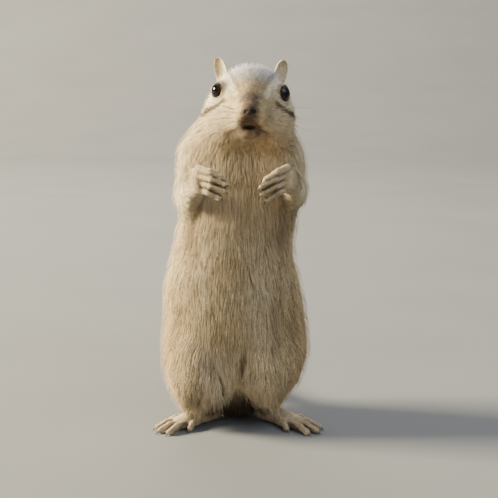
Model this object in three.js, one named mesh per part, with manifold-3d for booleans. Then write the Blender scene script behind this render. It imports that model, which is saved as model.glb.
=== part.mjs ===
// An eastern chipmunk standing upright on its hind feet with both paws raised in front of its chin:
// a still, life-size model, solid in each named part, measured to the tips of the coat.
// Millimetres, +Z up. The animal faces -Y, its own left side is +X, and its soles and tail lie on Z = 0.
import * as THREE from "three";
import { LoftGeometry } from "three/addons/geometries/LoftGeometry.js";
import { mergeVertices } from "three/addons/utils/BufferGeometryUtils.js";
import Module from "manifold-3d";

const wasm = await Module();
wasm.setup();

// ---- Driving dimensions ----
const MIDDLE = -1.2; // the midline of the hips, sideways
const HIP = 29.6; // half the width over both haunches
const WAIST = 25.2; // half the width under the ribs
const CHEST = 23.2; // half the width at the armpits
const SHOULDERS = 108; // height of the cut between trunk and neck
const HEAD = { x: 4.9, y: -8, z: 134, roll: 2.8 }; // middle of the skull, and its tilt to the left in degrees
const SKULL = { side: 14.6, long: 15.4, high: 13.3 }; // half sizes of the brain case
const MUZZLE = 26.2; // from the middle of the skull to the tip of the nose
const EYE = { radius: 3.3, side: 11.3, ahead: 8.6, up: 3.2 };
const EAR = { long: 11.6, wide: 3.7, bow: 1.9, wall: 0.9 }; // half its width, and the depth of its hollow
const CHEEK = { ahead: 5, below: 36, swell: 5.6 }; // the full cheek, at an angle below the skull's level
const HEEL = { x: 9, y: 5 };
const FOOT = { long: 33, splay: 54, wide: 4.4 }; // splay from straight ahead, in degrees
const TOE = 1.25; // half thickness of a hind toe
const FINGER = 1.15; // half thickness of a finger
const TAIL = { base: 17, end: 97, wide: 11.5, high: 5.6 };
const GAP = 0.32; // the cut between two parts

const SIDES = { left: 1, right: -1 };
const X_AXIS = new THREE.Vector3(1, 0, 0);
const rad = THREE.MathUtils.degToRad;

const FUR = { tawny: "#a8845c", buff: "#cdb897", grey: "#9b8e7c", rufous: "#9a6a42", dark: "#4a3727" };
const SKIN = "#b58f7a";

const finish = (color, roughness = 0.95) => new THREE.MeshStandardMaterial({ color, roughness, metalness: 0 });

// ---- Shapes ----

// One station of a form: its centre, and how far the coat reaches sideways, to the belly and to the back.
function station(x, y, z, side, belly = side, back = belly) {
  return { centre: new THREE.Vector3(x, y, z), reach: new THREE.Vector3(side, belly, back) };
}

// A form through its stations. Each ring is two half ellipses, which swell(t, angle) pushes out where it is
// given, and the ends are rounded by quarter ellipses.
function form(stations, options = {}) {
  const { sides = 24, rings = 2, round = [0.7, 0.7], across = X_AXIS, grow = 0, swell = () => 0 } = options;
  const line = new THREE.CatmullRomCurve3(stations.map((s) => s.centre), false, "catmullrom", 0.5);
  const reaches = new THREE.CatmullRomCurve3(stations.map((s) => s.reach), false, "catmullrom", 0.5);
  const count = (stations.length - 1) * rings;
  const sections = [];
  const ring = (t, shift, shrink) => {
    const reach = reaches.getPoint(t).addScalar(grow).multiplyScalar(shrink);
    const along = line.getTangent(t);
    const wide = across.clone().addScaledVector(along, -across.dot(along)).normalize();
    const deep = along.clone().cross(wide);
    const centre = line.getPoint(t).addScaledVector(along, shift);
    sections.push(Array.from({ length: sides }, (_, i) => {
      const a = (2 * Math.PI * i) / sides;
      const more = swell(t, a) * shrink;
      return centre.clone()
        .addScaledVector(wide, Math.cos(a) * (reach.x + more))
        .addScaledVector(deep, Math.sin(a) * ((Math.sin(a) > 0 ? reach.z : reach.y) + more));
    }));
  };
  // Angles on the quarter ellipse of an end, outermost first: more of them on a wide form.
  const roundings = (sides < 10 ? [63] : sides < 18 ? [79, 49] : [85, 65, 38]).map(rad);
  const endLength = (t, share) => (share * reaches.getPoint(t).x) + grow;
  for (const a of roundings) ring(0, -endLength(0, round[0]) * Math.sin(a), Math.cos(a));
  for (let i = 0; i <= count; i++) ring(i / count, 0, 1);
  for (const a of roundings.toReversed()) ring(1, endLength(1, round[1]) * Math.sin(a), Math.cos(a));
  return solid(new LoftGeometry(sections, { capStart: true, capEnd: true }));
}

function ball([x, y, z], radius) {
  return solid(new THREE.SphereGeometry(radius, 12, 8).rotateX(Math.PI / 2).translate(x, y, z));
}

function block(low, high) {
  const size = high.map((v, i) => v - low[i]);
  return solid(new THREE.BoxGeometry(...size).translate(...low.map((v, i) => v + size[i] / 2)));
}

// A closed geometry as a solid for cutting and joining.
function solid(geometry) {
  const bare = new THREE.BufferGeometry().copy(geometry);
  for (const name of ["normal", "uv"]) bare.deleteAttribute(name);
  const merged = mergeVertices(bare, 1e-4);
  return new wasm.Manifold(new wasm.Mesh({
    numProp: 3,
    vertProperties: merged.attributes.position.array,
    triVerts: new Uint32Array(merged.index.array),
  }));
}

const join = (solids) => solids.reduce((whole, piece) => whole.add(piece));
const cut = (whole, tools) => tools.reduce((left, tool) => left.subtract(tool), whole);
const biggest = (whole) => whole.decompose().reduce((a, b) => (b.volume() > a.volume() ? b : a));

const floor = block([-200, -200, -60], [200, 200, 0]); // everything under the ground line
const standing = (whole) => whole.subtract(floor);

// ---- Trunk, neck and tail ----

function trunk(grow = 0) {
  return form([
    station(-1.6, 8.6, 9.4, 12.6, 9.6, 10.4),
    station(-1.6, 6.5, 20, 20, 17.5, 16.5),
    station(-1.5, 4, 32, HIP - 4.6, 20.5, 20.5),
    station(-1.5, 2, 46, HIP - 2.4, 22.5, 21.5),
    station(-2, 1, 58, HIP - 1.4, 23, 19.5),
    station(-2.2, 0, 70, WAIST, 21.5, 18),
    station(-0.6, -1, 84, CHEST + 0.4, 20, 17),
    station(0.9, -2, 98, CHEST - 0.6, 19, 16.4),
    station(1.3, -3, 109, CHEST - 0.8, 17.5, 16),
  ], { sides: 18, rings: 1, round: [0.5, 0.2], grow });
}

function neck(grow = 0) {
  return form([
    station(1.3, -2.9, 107, CHEST - 0.8, 17.6, 16),
    station(1.2, -4, 114, CHEST - 0.4, 16.4, 15.8),
    station(1.8, -5.5, 121, CHEST - 2.2, 15, 16),
    station(3.1, -6.5, 128, CHEST - 6, 12.6, 15.6),
    station(4.5, -6.5, 133, CHEST - 9.6, 9, 13.4),
  ], { sides: 16, rings: 1, round: [0.1, 0.6], grow });
}

// The bushy tail leaves the rump low down and lies flattened on the ground, with a slight sweep.
function tail(grow = 0) {
  const length = TAIL.end - TAIL.base;
  const along = (share, x, z, wide, high) =>
    station(x, TAIL.base + share * length, z, wide, high * 0.8, high);
  return form([
    along(0, -1.2, 18, 5.6, 6.4),
    along(0.09, -1.1, 13.6, 6.4, 6.6),
    along(0.2, -0.8, 8, TAIL.wide * 0.68, TAIL.high * 1.1),
    along(0.34, 0.2, 4.9, TAIL.wide * 0.88, TAIL.high),
    along(0.52, 2, 4.3, TAIL.wide, TAIL.high),
    along(0.7, 3.6, 4.2, TAIL.wide, TAIL.high * 0.98),
    along(0.87, 3.8, 3.7, TAIL.wide * 0.8, TAIL.high * 0.84),
    along(1, 2.6, 2.7, TAIL.wide * 0.4, TAIL.high * 0.5),
  ], { sides: 14, rings: 1, round: [0.2, 0.9], across: X_AXIS.clone().negate(), grow });
}

// ---- Head ----

// A place on the head from its own axes: sideways, ahead of the skull's middle, and up.
function onHead(side, ahead, up) {
  const roll = rad(HEAD.roll);
  return [
    HEAD.x + side * Math.cos(roll) + up * Math.sin(roll),
    HEAD.y - ahead,
    HEAD.z + up * Math.cos(roll) - side * Math.sin(roll),
  ];
}

// The whole head is one form from the nape to the nose, with a full cheek on each side.
function head(grow = 0) {
  const { side, long, high } = SKULL;
  // How far each station is ahead of the skull's middle.
  const places = [-0.76 * long, -0.4 * long, 0, 6, 11.5, 16.5, 20.6, MUZZLE - 2.2];
  const cheekAt = 2 + CHEEK.ahead / (places[3] - places[2]); // the cheek's place counted in stations
  const swell = (t, a) => {
    const cheeks = [rad(180 + CHEEK.below), rad(360 - CHEEK.below)];
    const off = Math.min(...cheeks.map((c) => Math.abs(Math.atan2(Math.sin(a - c), Math.cos(a - c)))));
    const along = t * (places.length - 1) - cheekAt;
    return CHEEK.swell * Math.exp(-((off / rad(36)) ** 2) - (along / 1.5) ** 2);
  };
  const at = (i, up) => onHead(0, places[i], up);
  const across = new THREE.Vector3(...onHead(1, 0, 0)).sub(new THREE.Vector3(...onHead(0, 0, 0)));
  return form([
    station(...at(0, 0), side * 0.62, high * 0.72, high * 0.62),
    station(...at(1, 0), side * 0.91, high * 1.02, high * 0.92),
    station(...at(2, 0), side, high * 1.14, high),
    station(...at(3, -0.5), side * 0.96, high * 1.1, high * 0.98),
    station(...at(4, -1.6), side * 0.74, high * 0.94, high * 0.86),
    station(...at(5, -2.6), side * 0.51, high * 0.76, high * 0.66),
    station(...at(6, -3.2), side * 0.39, high * 0.54, high * 0.47),
    station(...at(7, -3.4), side * 0.27, high * 0.32, high * 0.3),
  ], { sides: 18, round: [0.5, 0.6], across, grow, swell });
}

const eye = (s, grow = 0) => ball(onHead(s * EYE.side, EYE.ahead, EYE.up), EYE.radius + grow);

// A leaf bowed into a scoop, which stands on the back corner of the head and opens forwards and outwards.
function ear(s) {
  const root = new THREE.Vector3(...onHead(s * 9.9, -2.6, 4.4));
  const up = new THREE.Vector3(s * 0.235, 0.06, 1).normalize();
  const open = new THREE.Vector3(s * 0.74, -0.67, 0).projectOnPlane(up).normalize();
  const wide = open.clone().cross(up);
  // Shares of the ear's height, and of its width there.
  const leaf = [[0, 0.6], [0.2, 0.78], [0.42, 0.98], [0.62, 1], [0.8, 0.84], [0.93, 0.56], [1, 0.26]];
  const across = [-1, -0.64, -0.22, 0.22, 0.64, 1];
  return solid(new LoftGeometry(leaf.map(([height, width]) => {
    const place = (u, wall) => root.clone()
      .addScaledVector(up, height * EAR.long)
      .addScaledVector(wide, u * width * EAR.wide)
      .addScaledVector(open, -EAR.bow * width * (1 - u * u) + wall);
    return [...across.map((u) => place(u, 0)), ...across.toReversed().map((u) => place(u, EAR.wall))];
  }), { capStart: true, capEnd: true }));
}

// ---- Arms ----

// Places of the joints, and how far the fingers slope down.
const ARMS = {
  left: {
    shoulder: [17, -2.6, 110],
    elbow: [21.4, -8, 97],
    wrist: [20.8, -26, 103.8],
    palm: [19.2, -32.4, 106.8],
    slope: 4,
  },
  right: {
    shoulder: [-14.2, -2.6, 110.6],
    elbow: [-18.8, -8, 95],
    wrist: [-16.6, -27, 103.6],
    palm: [-14.4, -33.4, 106.4],
    slope: 2.4,
  },
};
const FINGERS = [
  { rise: 3.7, long: 8.8 },
  { rise: 1.3, long: 10.4 },
  { rise: -1.2, long: 10 },
  { rise: -3.6, long: 8 },
];

function upperArm(name, grow = 0) {
  const { shoulder, elbow } = ARMS[name];
  const middle = shoulder.map((v, i) => (v + elbow[i]) / 2);
  return form([
    station(...elbow, 5.8, 6.4, 7),
    station(...middle, 7.8, 8.8, 9.6),
    station(...shoulder, 9.2, 11, 11.6),
  ], { sides: 10, rings: 1, round: [0.7, 0.8], grow });
}

function forearm(name, grow = 0) {
  const { elbow, wrist } = ARMS[name];
  const middle = elbow.map((v, i) => (v + wrist[i]) / 2);
  return form([
    station(...elbow, 5.2, 5.4),
    station(...middle, 4.6, 5),
    station(...wrist, 3.1, 3.6),
  ], { sides: 10, rings: 1, round: [0.6, 0.5], grow });
}

// A digit through three joints, with a hooked claw beyond its tip.
function digit(root, knuckle, tip, thick, clawLong, clawDrop) {
  const ahead = new THREE.Vector3().subVectors(tip, knuckle).normalize();
  const claw = (share, drop) => tip.clone()
    .addScaledVector(ahead, share * clawLong)
    .setZ(tip.z - drop * clawDrop);
  const toe = form([
    station(...root, thick * 1.15),
    station(...knuckle, thick),
    station(...tip, thick * 0.86),
  ], { sides: 6, rings: 1, round: [0.5, 0.8] });
  const hook = form([
    station(...claw(-0.1, -0.1), 0.6),
    station(...claw(0.6, 0.25), 0.48),
    station(...claw(1, 0.85), 0.28),
  ], { sides: 4, rings: 1, round: [0.4, 0.6] });
  return toe.add(hook);
}

function hand(name, grow = 0) {
  const s = SIDES[name];
  const { wrist, palm, slope } = ARMS[name];
  const pad = form([
    station(...wrist, 3, 3.4),
    station(...palm, 3.1, 4.9),
    station(palm[0] - s * 0.6, palm[1] - 3.4, palm[2] + 0.6, 2.5, 4.5),
  ], { sides: 10, rings: 1, round: [0.3, 0.5], grow });
  if (grow) return pad;
  const fingers = FINGERS.map(({ rise, long }) => {
    const root = new THREE.Vector3(palm[0] - s * 0.6, palm[1] - 3.2, palm[2] + rise + 0.6);
    const knuckle = root.clone().add(new THREE.Vector3(-s * 0.42 * long, -0.4 * long, 0.3 - 0.35 * slope));
    const tip = root.clone().add(new THREE.Vector3(-s * 0.94 * long, -0.5 * long, -slope));
    return digit(root, knuckle, tip, FINGER, 1.9, 1.1);
  });
  return join([pad, ...fingers]);
}

// ---- Legs ----

const footAhead = (s) => new THREE.Vector3(s * Math.sin(rad(FOOT.splay)), -Math.cos(rad(FOOT.splay)), 0);

// A place on the foot: how far ahead of the heel, how far towards the outer toes, and how high.
function onFoot(s, ahead, outward, up) {
  const along = footAhead(s);
  const out = new THREE.Vector3(-s * along.y, s * along.x, 0).multiplyScalar(outward);
  return new THREE.Vector3(s * HEEL.x, HEEL.y, up).addScaledVector(along, ahead).add(out);
}

// root is a share of the foot's length from the heel, out and long are millimetres, fan is in degrees.
const TOES = [
  { root: 0.38, out: -3.6, fan: -26, long: 7 },
  { root: 0.53, out: -2.7, fan: -11, long: 11 },
  { root: 0.56, out: -0.4, fan: -1, long: 12 },
  { root: 0.54, out: 1.9, fan: 10, long: 11.4 },
  { root: 0.41, out: 3.6, fan: 24, long: 8.6 },
];

function foot(name, grow = 0) {
  const s = SIDES[name];
  const onSole = (share, up) => onFoot(s, share * FOOT.long, 0, up);
  const sole = form([
    station(...onSole(0.015, 3.1), 3.1, 3.4),
    station(...onSole(0.24, 3), 3.7, 3.4),
    station(...onSole(0.455, 2.6), FOOT.wide, 3),
    station(...onSole(0.575, 2.1), FOOT.wide - 0.4, 2.3),
  ], { sides: 10, rings: 1, round: [0.8, 0.5], across: onFoot(s, 0, 1, 0).sub(onFoot(s, 0, 0, 0)), grow });
  if (grow) return sole;
  const toes = TOES.map(({ root, out, fan, long }) => {
    const start = onFoot(s, root * FOOT.long, out, 2.1);
    const turn = footAhead(s).applyAxisAngle(new THREE.Vector3(0, 0, 1), s * rad(fan));
    const knuckle = start.clone().addScaledVector(turn, long * 0.45).setZ(2.7);
    const tip = start.clone().addScaledVector(turn, long * 0.86).setZ(1.1);
    return digit(start, knuckle, tip, TOE, 2.4, 0.7);
  });
  return standing(join([sole, ...toes]));
}

function shin(name, grow = 0) {
  const s = SIDES[name];
  return form([
    station(...onFoot(s, 1.6, 0, 4.4), 3.3, 3.8),
    station(s * 13.4, 1.6, 11, 5, 6.4),
    station(s * 16.6, -3.4, 20, 6.6, 8.6),
  ], { sides: 12, rings: 1, round: [0.2, 0.6], grow });
}

// The lower end of each haunch: how far it is out from the midline, its height and its reach sideways. The coat
// of the right one hangs lower and further out.
const HANG = {
  left: [{ out: 14.2, z: 14.2, reach: 7.8 }, { out: 13.4, z: 20.5, reach: 12.9 }],
  right: [{ out: 15.8, z: 13.4, reach: 9.8 }, { out: 14.4, z: 19.5, reach: 14.2 }],
};

// The haunch, from the knee that hangs over the foot to the top of the hip. The two meet under the belly.
function thigh(name, grow = 0) {
  const s = SIDES[name];
  const [low, middle] = HANG[name];
  return form([
    station(s * low.out + MIDDLE, -5.4, low.z, low.reach, 8.8, 10.4),
    station(s * middle.out + MIDDLE, -3.4, middle.z, middle.reach, 15, 16),
    station(s * 14 + MIDDLE, -0.6, 30, HIP - 13.6, 19.8, 19),
    station(s * 14 + MIDDLE, 1.4, 40, HIP - 13.8, 20.2, 19.4),
    station(s * 13.2 + MIDDLE, 2.4, 49.5, HIP - 14.8, 17.4, 17.6),
  ], { sides: 14, rings: 1, round: [0.55, 0.55], grow });
}

// ---- Parting the body: each part gives way to the ones that are whole ----

const midline = block([MIDDLE - GAP / 2, -60, 0], [MIDDLE + GAP / 2, 60, 80]); // where the two haunches meet
const part = {};
for (const [name, s] of Object.entries(SIDES)) {
  part[`eye_${name}`] = eye(s);
  part[`hand_${name}`] = hand(name);
  part[`foot_${name}`] = foot(name);
  part[`forearm_${name}`] = cut(forearm(name), [hand(name, GAP), head(GAP)]);
  part[`upper_arm_${name}`] = cut(upperArm(name), [forearm(name, GAP), hand(name, GAP), head(GAP)]);
  part[`shin_${name}`] = cut(standing(shin(name)), [foot(name, GAP)]);
  part[`thigh_${name}`] = cut(standing(thigh(name)), [midline, shin(name, GAP), foot(name, GAP)]);
  part[`ear_${name}`] = cut(ear(s), [head(GAP)]);
}
const limbs = Object.keys(SIDES).flatMap((name) =>
  [upperArm, forearm, hand, thigh, shin, foot].map((limb) => limb(name, GAP)));
part.head = cut(head(), [eye(1, GAP), eye(-1, GAP)]);
const belowNeck = block([-60, -60, 60], [60, 60, SHOULDERS + GAP]);
const aboveTrunk = block([-60, -60, SHOULDERS], [60, 60, 160]);
part.neck = cut(neck(), [belowNeck, head(GAP), ...limbs]);
part.trunk = cut(standing(trunk()), [aboveTrunk, ...limbs]);
part.tail = cut(standing(tail()), [trunk(GAP), ...limbs]);

const COLOURS = {
  head: FUR.grey, neck: FUR.buff, trunk: FUR.buff, tail: FUR.dark, eye: "#120d0a", ear: FUR.buff,
  hand: SKIN, foot: SKIN, forearm: FUR.buff, upper_arm: FUR.tawny, shin: FUR.buff, thigh: FUR.rufous,
};

// ---- The model, standing on the middle of its own bounding box ----

const chipmunk = new THREE.Group();
for (const [name, whole] of Object.entries(part)) {
  const kind = name.replace(/_(left|right)$/, "");
  const { vertProperties, triVerts } = biggest(whole).getMesh();
  const geometry = new THREE.BufferGeometry()
    .setAttribute("position", new THREE.BufferAttribute(vertProperties, 3))
    .setIndex(new THREE.BufferAttribute(triVerts, 1));
  const mesh = new THREE.Mesh(geometry, finish(COLOURS[kind], kind === "eye" ? 0.1 : 0.95));
  mesh.name = name;
  chipmunk.add(mesh);
}
const bounds = new THREE.Box3().setFromObject(chipmunk);
const middle = bounds.getCenter(new THREE.Vector3());
chipmunk.position.set(-middle.x, -middle.y, 0);

export default chipmunk;
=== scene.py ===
# %% [markdown]
# # A chipmunk that stands on its hind feet
#
# This lesson builds a small furred animal in three layers. Under everything lies one closed skin, worked out
# from a few rounded forms that melt into each other. Over it lies the coat: many thousand thin, closed tufts
# of hair that follow the lie of the fur. Last come the hard and wet things: eyes, nose, claws and whiskers.
#
# The solids that carry the model reach out to the tips of the coat, so the skin lies inside them by the
# coat's depth, and the tufts fill what is left. The first cell loads those solids as a fixed frame.

# %% Load the frame
import math
import bpy
import numpy as np
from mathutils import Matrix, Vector
from mathutils.kdtree import KDTree


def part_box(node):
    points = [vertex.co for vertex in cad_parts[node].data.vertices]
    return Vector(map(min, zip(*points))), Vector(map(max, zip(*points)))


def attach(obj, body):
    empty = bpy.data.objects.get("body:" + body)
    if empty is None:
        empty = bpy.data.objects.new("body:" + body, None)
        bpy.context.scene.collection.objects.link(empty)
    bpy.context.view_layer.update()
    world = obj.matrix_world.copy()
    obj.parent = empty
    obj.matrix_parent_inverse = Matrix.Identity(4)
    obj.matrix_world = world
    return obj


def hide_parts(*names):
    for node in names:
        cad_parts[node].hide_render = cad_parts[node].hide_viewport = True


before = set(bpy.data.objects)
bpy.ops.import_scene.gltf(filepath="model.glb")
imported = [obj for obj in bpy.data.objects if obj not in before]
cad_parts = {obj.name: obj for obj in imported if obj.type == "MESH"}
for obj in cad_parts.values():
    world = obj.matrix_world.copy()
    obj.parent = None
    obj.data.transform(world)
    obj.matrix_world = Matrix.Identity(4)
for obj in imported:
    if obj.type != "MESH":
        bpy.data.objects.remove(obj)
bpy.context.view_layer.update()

# %% [markdown]
# All shapes are written in millimetres, on the animal's own axes: it faces -Y, its left side is +X and the
# ground is at Z = 0. The two eyes of the frame fix those axes, as the skull hangs between them: the line from
# eye to eye is the head's own sideways direction, and with it comes the slight tilt of the head.

# %% Axes of the body and of the head
MM = 0.001
EYE = {"side": 11.3, "ahead": 8.6, "up": 3.2}  # the eye's place on the head, from the skull's middle


def unit(v):
    """v at length 1, along the last axis."""
    v = np.asarray(v, float)
    return v / np.maximum(np.linalg.norm(v, axis=-1, keepdims=True), 1e-9)


def middle_of(node):
    """The middle of a node's box in the frame, in millimetres."""
    low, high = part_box(node)
    return (np.array(low) + np.array(high)) / (2 * MM)


eye_line = middle_of("eye_left") - middle_of("eye_right")
HEAD_SIDE = unit(eye_line)
HEAD_AHEAD = np.array([0.0, -1.0, 0.0])
HEAD_UP = unit(np.cross(HEAD_AHEAD, HEAD_SIDE))
between_eyes = (middle_of("eye_left") + middle_of("eye_right")) / 2
SKULL_IN_FRAME = between_eyes - EYE["ahead"] * HEAD_AHEAD - EYE["up"] * HEAD_UP
SKULL = np.array([4.9, -8.0, 134.0])
ORIGIN = SKULL_IN_FRAME - SKULL
print("body axes in the frame, mm:", ORIGIN.round(3), "head up:", HEAD_UP.round(3))


def on_head(side, ahead, up):
    """A place on the head: the skull's middle, plus each amount along the head's own direction."""
    return SKULL + side * HEAD_SIDE + ahead * HEAD_AHEAD + up * HEAD_UP


def in_frame(points):
    """Points in millimetres on the body's axes, as metres in the frame."""
    return (np.asarray(points) + ORIGIN) * MM


# %% [markdown]
# ## Forms that melt into each other
#
# A body is easiest to describe as a few rounded forms: a barrel for the trunk, a wedge for the head, sausages
# for the limbs. Joining meshes of them would leave a crease at every seam. Instead each form is a function
# that says how far any point is from its surface, negative inside, and the functions are joined by a soft
# minimum, which fills each seam with a fillet as muscle and skin do.

# %% Distance functions
def stations(table, s):
    """A smooth curve through the rows of a table: cubic pieces whose slopes are those of the neighbours."""
    table = np.asarray(table, float)
    places, values = table[:, 0], table[:, 1:]
    slopes = np.gradient(values, places, axis=0)
    i = np.clip(np.searchsorted(places, s) - 1, 0, len(places) - 2)
    h = places[i + 1] - places[i]
    t = np.clip((s - places[i]) / h, 0, 1)
    return [
        (2 * t**3 - 3 * t**2 + 1) * values[i, c] + (t**3 - 2 * t**2 + t) * h * slopes[i, c]
        + (3 * t**2 - 2 * t**3) * values[i + 1, c] + (t**3 - t**2) * h * slopes[i + 1, c]
        for c in range(values.shape[1])
    ]


def loft(P, base, along, side, table, ends, less=0.0, swell=None):
    """A form along an axis. Each row of the table is its place on the axis, the offset of the section's middle
    sideways and upwards, and how far the section reaches sideways, down and up. With k the distance from the
    axis in shares of the reach, a point at distance r is r (1 - 1/k) from the surface."""
    q = [P[i] - base[i] for i in range(3)]
    deep = np.cross(along, side)
    s, a, b = (q[0] * v[0] + q[1] * v[1] + q[2] * v[2] for v in (along, side, deep))
    first, last = table[0][0], table[-1][0]
    held = np.clip(s, first, last)
    off_a, off_b, reach_a, down, up = stations(table, held)
    a = a - off_a
    b = b - off_b
    reach_a = reach_a - less
    reach_b = np.where(b > 0, up, down) - less
    beyond = s - held
    end = np.where(beyond < 0, ends[0], ends[1]) * reach_a
    if swell is not None:
        more = swell(held, np.arctan2(b / reach_b, a / reach_a))
        reach_a = reach_a + more
        reach_b = reach_b + more
    k = np.sqrt((a / reach_a) ** 2 + (b / reach_b) ** 2 + (beyond / end) ** 2)
    return np.maximum(np.sqrt(a * a + b * b + beyond * beyond), 1e-3) * (1 - 1 / np.maximum(k, 1e-4))


def rod(P, start, end, r0, r1):
    """A round rod with ball ends: the distance to the nearest point of its axis, less the radius there."""
    start, end = np.asarray(start, float), np.asarray(end, float)
    d = end - start
    q = [P[i] - start[i] for i in range(3)]
    t = np.clip((q[0] * d[0] + q[1] * d[1] + q[2] * d[2]) / (d @ d), 0, 1)
    far = np.sqrt(sum((q[i] - t * d[i]) ** 2 for i in range(3)))
    return far - (r0 + t * (r1 - r0))


def egg(P, centre, radii, axes=(HEAD_SIDE, HEAD_AHEAD, HEAD_UP), least=1e-4):
    """An ellipsoid on three axes, as a rule the head's: r (1 - 1/k) as in a loft, with k held above the least."""
    q = [P[i] - centre[i] for i in range(3)]
    local = [q[0] * v[0] + q[1] * v[1] + q[2] * v[2] for v in axes]
    k = np.sqrt(sum((local[i] / radii[i]) ** 2 for i in range(3)))
    return np.sqrt(sum(v * v for v in local)) * (1 - 1 / np.maximum(k, least))


def soft_min(a, b, k):
    """The lower of a and b, with a fillet of size k where they are nearly equal."""
    h = np.maximum(k - np.abs(a - b), 0) / k
    return np.minimum(a, b) - h * h * k / 4


# %% [markdown]
# ## The parts of the body
#
# Each part is one form with a name, the depth of coat that has to fit between it and the frame's solid, and
# the softness of the joint to its neighbours. The haunches are the two big lobes that meet under the belly.
# Digits are short rods, and the head is a loft from the nape to the nose with a swelling for each full cheek.

# %% Helpers for the parts
X_AXIS, Y_AXIS, Z_AXIS = np.eye(3)
GROUND = np.zeros(3)
SIDES = {"left": 1, "right": -1}
PARTS = []


def part(name, region, function, centre, reach, blend):
    """Adds a part. Its function is only worked out inside a box round its centre, to save time."""
    PARTS.append({"name": name, "region": region, "of": function, "blend": blend,
                  "low": np.asarray(centre) - reach - blend - 1,
                  "high": np.asarray(centre) + reach + blend + 1})


def upright(rows):
    """Rows of height, x, y and reach, as the table of a loft along Z."""
    return [[z, x, y, side, belly, back] for z, x, y, side, belly, back in rows]


def tower(table, ends, less):
    """A loft that stands on the ground, as a function of the points alone."""
    return lambda P: loft(P, GROUND, Z_AXIS, X_AXIS, table, ends, less)


def stick(start, end, r0, r1):
    """A rod as a function of the points alone."""
    return lambda P: rod(P, start, end, r0, r1)


def limb(start, end, rows, ends, less):
    """A loft from start to end: rows are the share of the way and the reach sideways, down and up."""
    start, end = np.asarray(start, float), np.asarray(end, float)
    along = unit(end - start)
    side = unit(X_AXIS - along * along[0])
    length = np.linalg.norm(end - start)
    table = [[share * length, 0, 0, *reach] for share, *reach in rows]
    return lambda P: loft(P, start, along, side, table, ends, less)


# %% Trunk and neck
MIDDLE = -1.2
HIP, WAIST, CHEST = 29.6, 25.2, 23.2
TRUNK = upright([
    (9.4, -1.6, 8.6, 12.6, 9.6, 10.4),
    (20, -1.6, 6.5, 20, 17.5, 16.5),
    (32, -1.5, 4, HIP - 4.6, 20.5, 20.5),
    (46, -1.5, 2, HIP - 2.4, 22.5, 21.5),
    (58, -2, 1, HIP - 1.4, 23, 19.5),
    (70, -2.2, 0, WAIST, 21.5, 18),
    (84, -0.6, -1, CHEST + 0.4, 20, 17),
    (98, 0.9, -2, CHEST - 0.6, 19, 16.4),
    (109, 1.3, -3, CHEST - 0.8, 17.5, 16),
])
NECK = upright([
    (107, 1.3, -2.9, CHEST - 0.8, 17.6, 16),
    (114, 1.2, -4, CHEST - 0.4, 16.4, 15.8),
    (121, 1.8, -5.5, CHEST - 2.2, 15, 16),
    (128, 3.1, -6.5, CHEST - 6, 12.6, 15.6),
    (133, 4.5, -6.5, CHEST - 9.6, 9, 13.4),
])
part("trunk", "trunk", tower(TRUNK, (0.5, 0.3), 3.2), (-1, 1, 60), (31, 27, 56), 6)
part("neck", "neck", tower(NECK, (0.1, 0.6), 2.9), (1.5, -5, 120), (24, 21, 26), 6)

# %% Haunches and arms
# The lower end of each haunch: out from the midline, height and reach. The right one hangs lower, further out.
HANG = {"left": [(14.2, 14.2, 7.8), (13.4, 20.5, 12.9)], "right": [(15.8, 13.4, 9.8), (14.4, 19.5, 14.2)]}


def haunch(name, thin=1.0):
    """The table of a haunch, from the knee over the foot to the top of the hip. The coat on its inner side is
    thin, so the skin reaches further in there than it does outwards."""
    s = SIDES[name]
    (out_low, z_low, reach_low), (out_mid, z_mid, reach_mid) = HANG[name]
    rows = [(z_low, out_low, -5.4, reach_low, 8.8, 10.4),
            (z_mid, out_mid, -3.4, reach_mid, 15, 16),
            (30, 14, -0.6, HIP - 13.6, 19.8, 19),
            (40, 14, 1.4, HIP - 13.8, 20.2, 19.4),
            (49.5, 13.2, 2.4, HIP - 14.8, 17.4, 17.6)]
    return upright([(z, s * (out - thin) + MIDDLE, y, reach + thin, belly, back)
                    for z, out, y, reach, belly, back in rows])


ARMS = {
    "left": {"shoulder": (17, -2.6, 110), "elbow": (21.4, -8, 97), "wrist": (20.8, -26, 103.8),
             "palm": (19.2, -32.4, 106.8), "slope": 4},
    "right": {"shoulder": (-14.2, -2.6, 110.6), "elbow": (-18.8, -8, 95), "wrist": (-16.6, -27, 103.6),
              "palm": (-14.4, -33.4, 106.4), "slope": 2.4},
}


def haunches(P):
    """Both haunches: where they meet under the belly a narrow crease stays."""
    left, right = (tower(haunch(name), (0.55, 0.55), 3.3)(P) for name in SIDES)
    return soft_min(left, right, 1.2)


part("haunches", "haunch", haunches, (MIDDLE, 0, 31), (32, 23, 30), 4)
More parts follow.
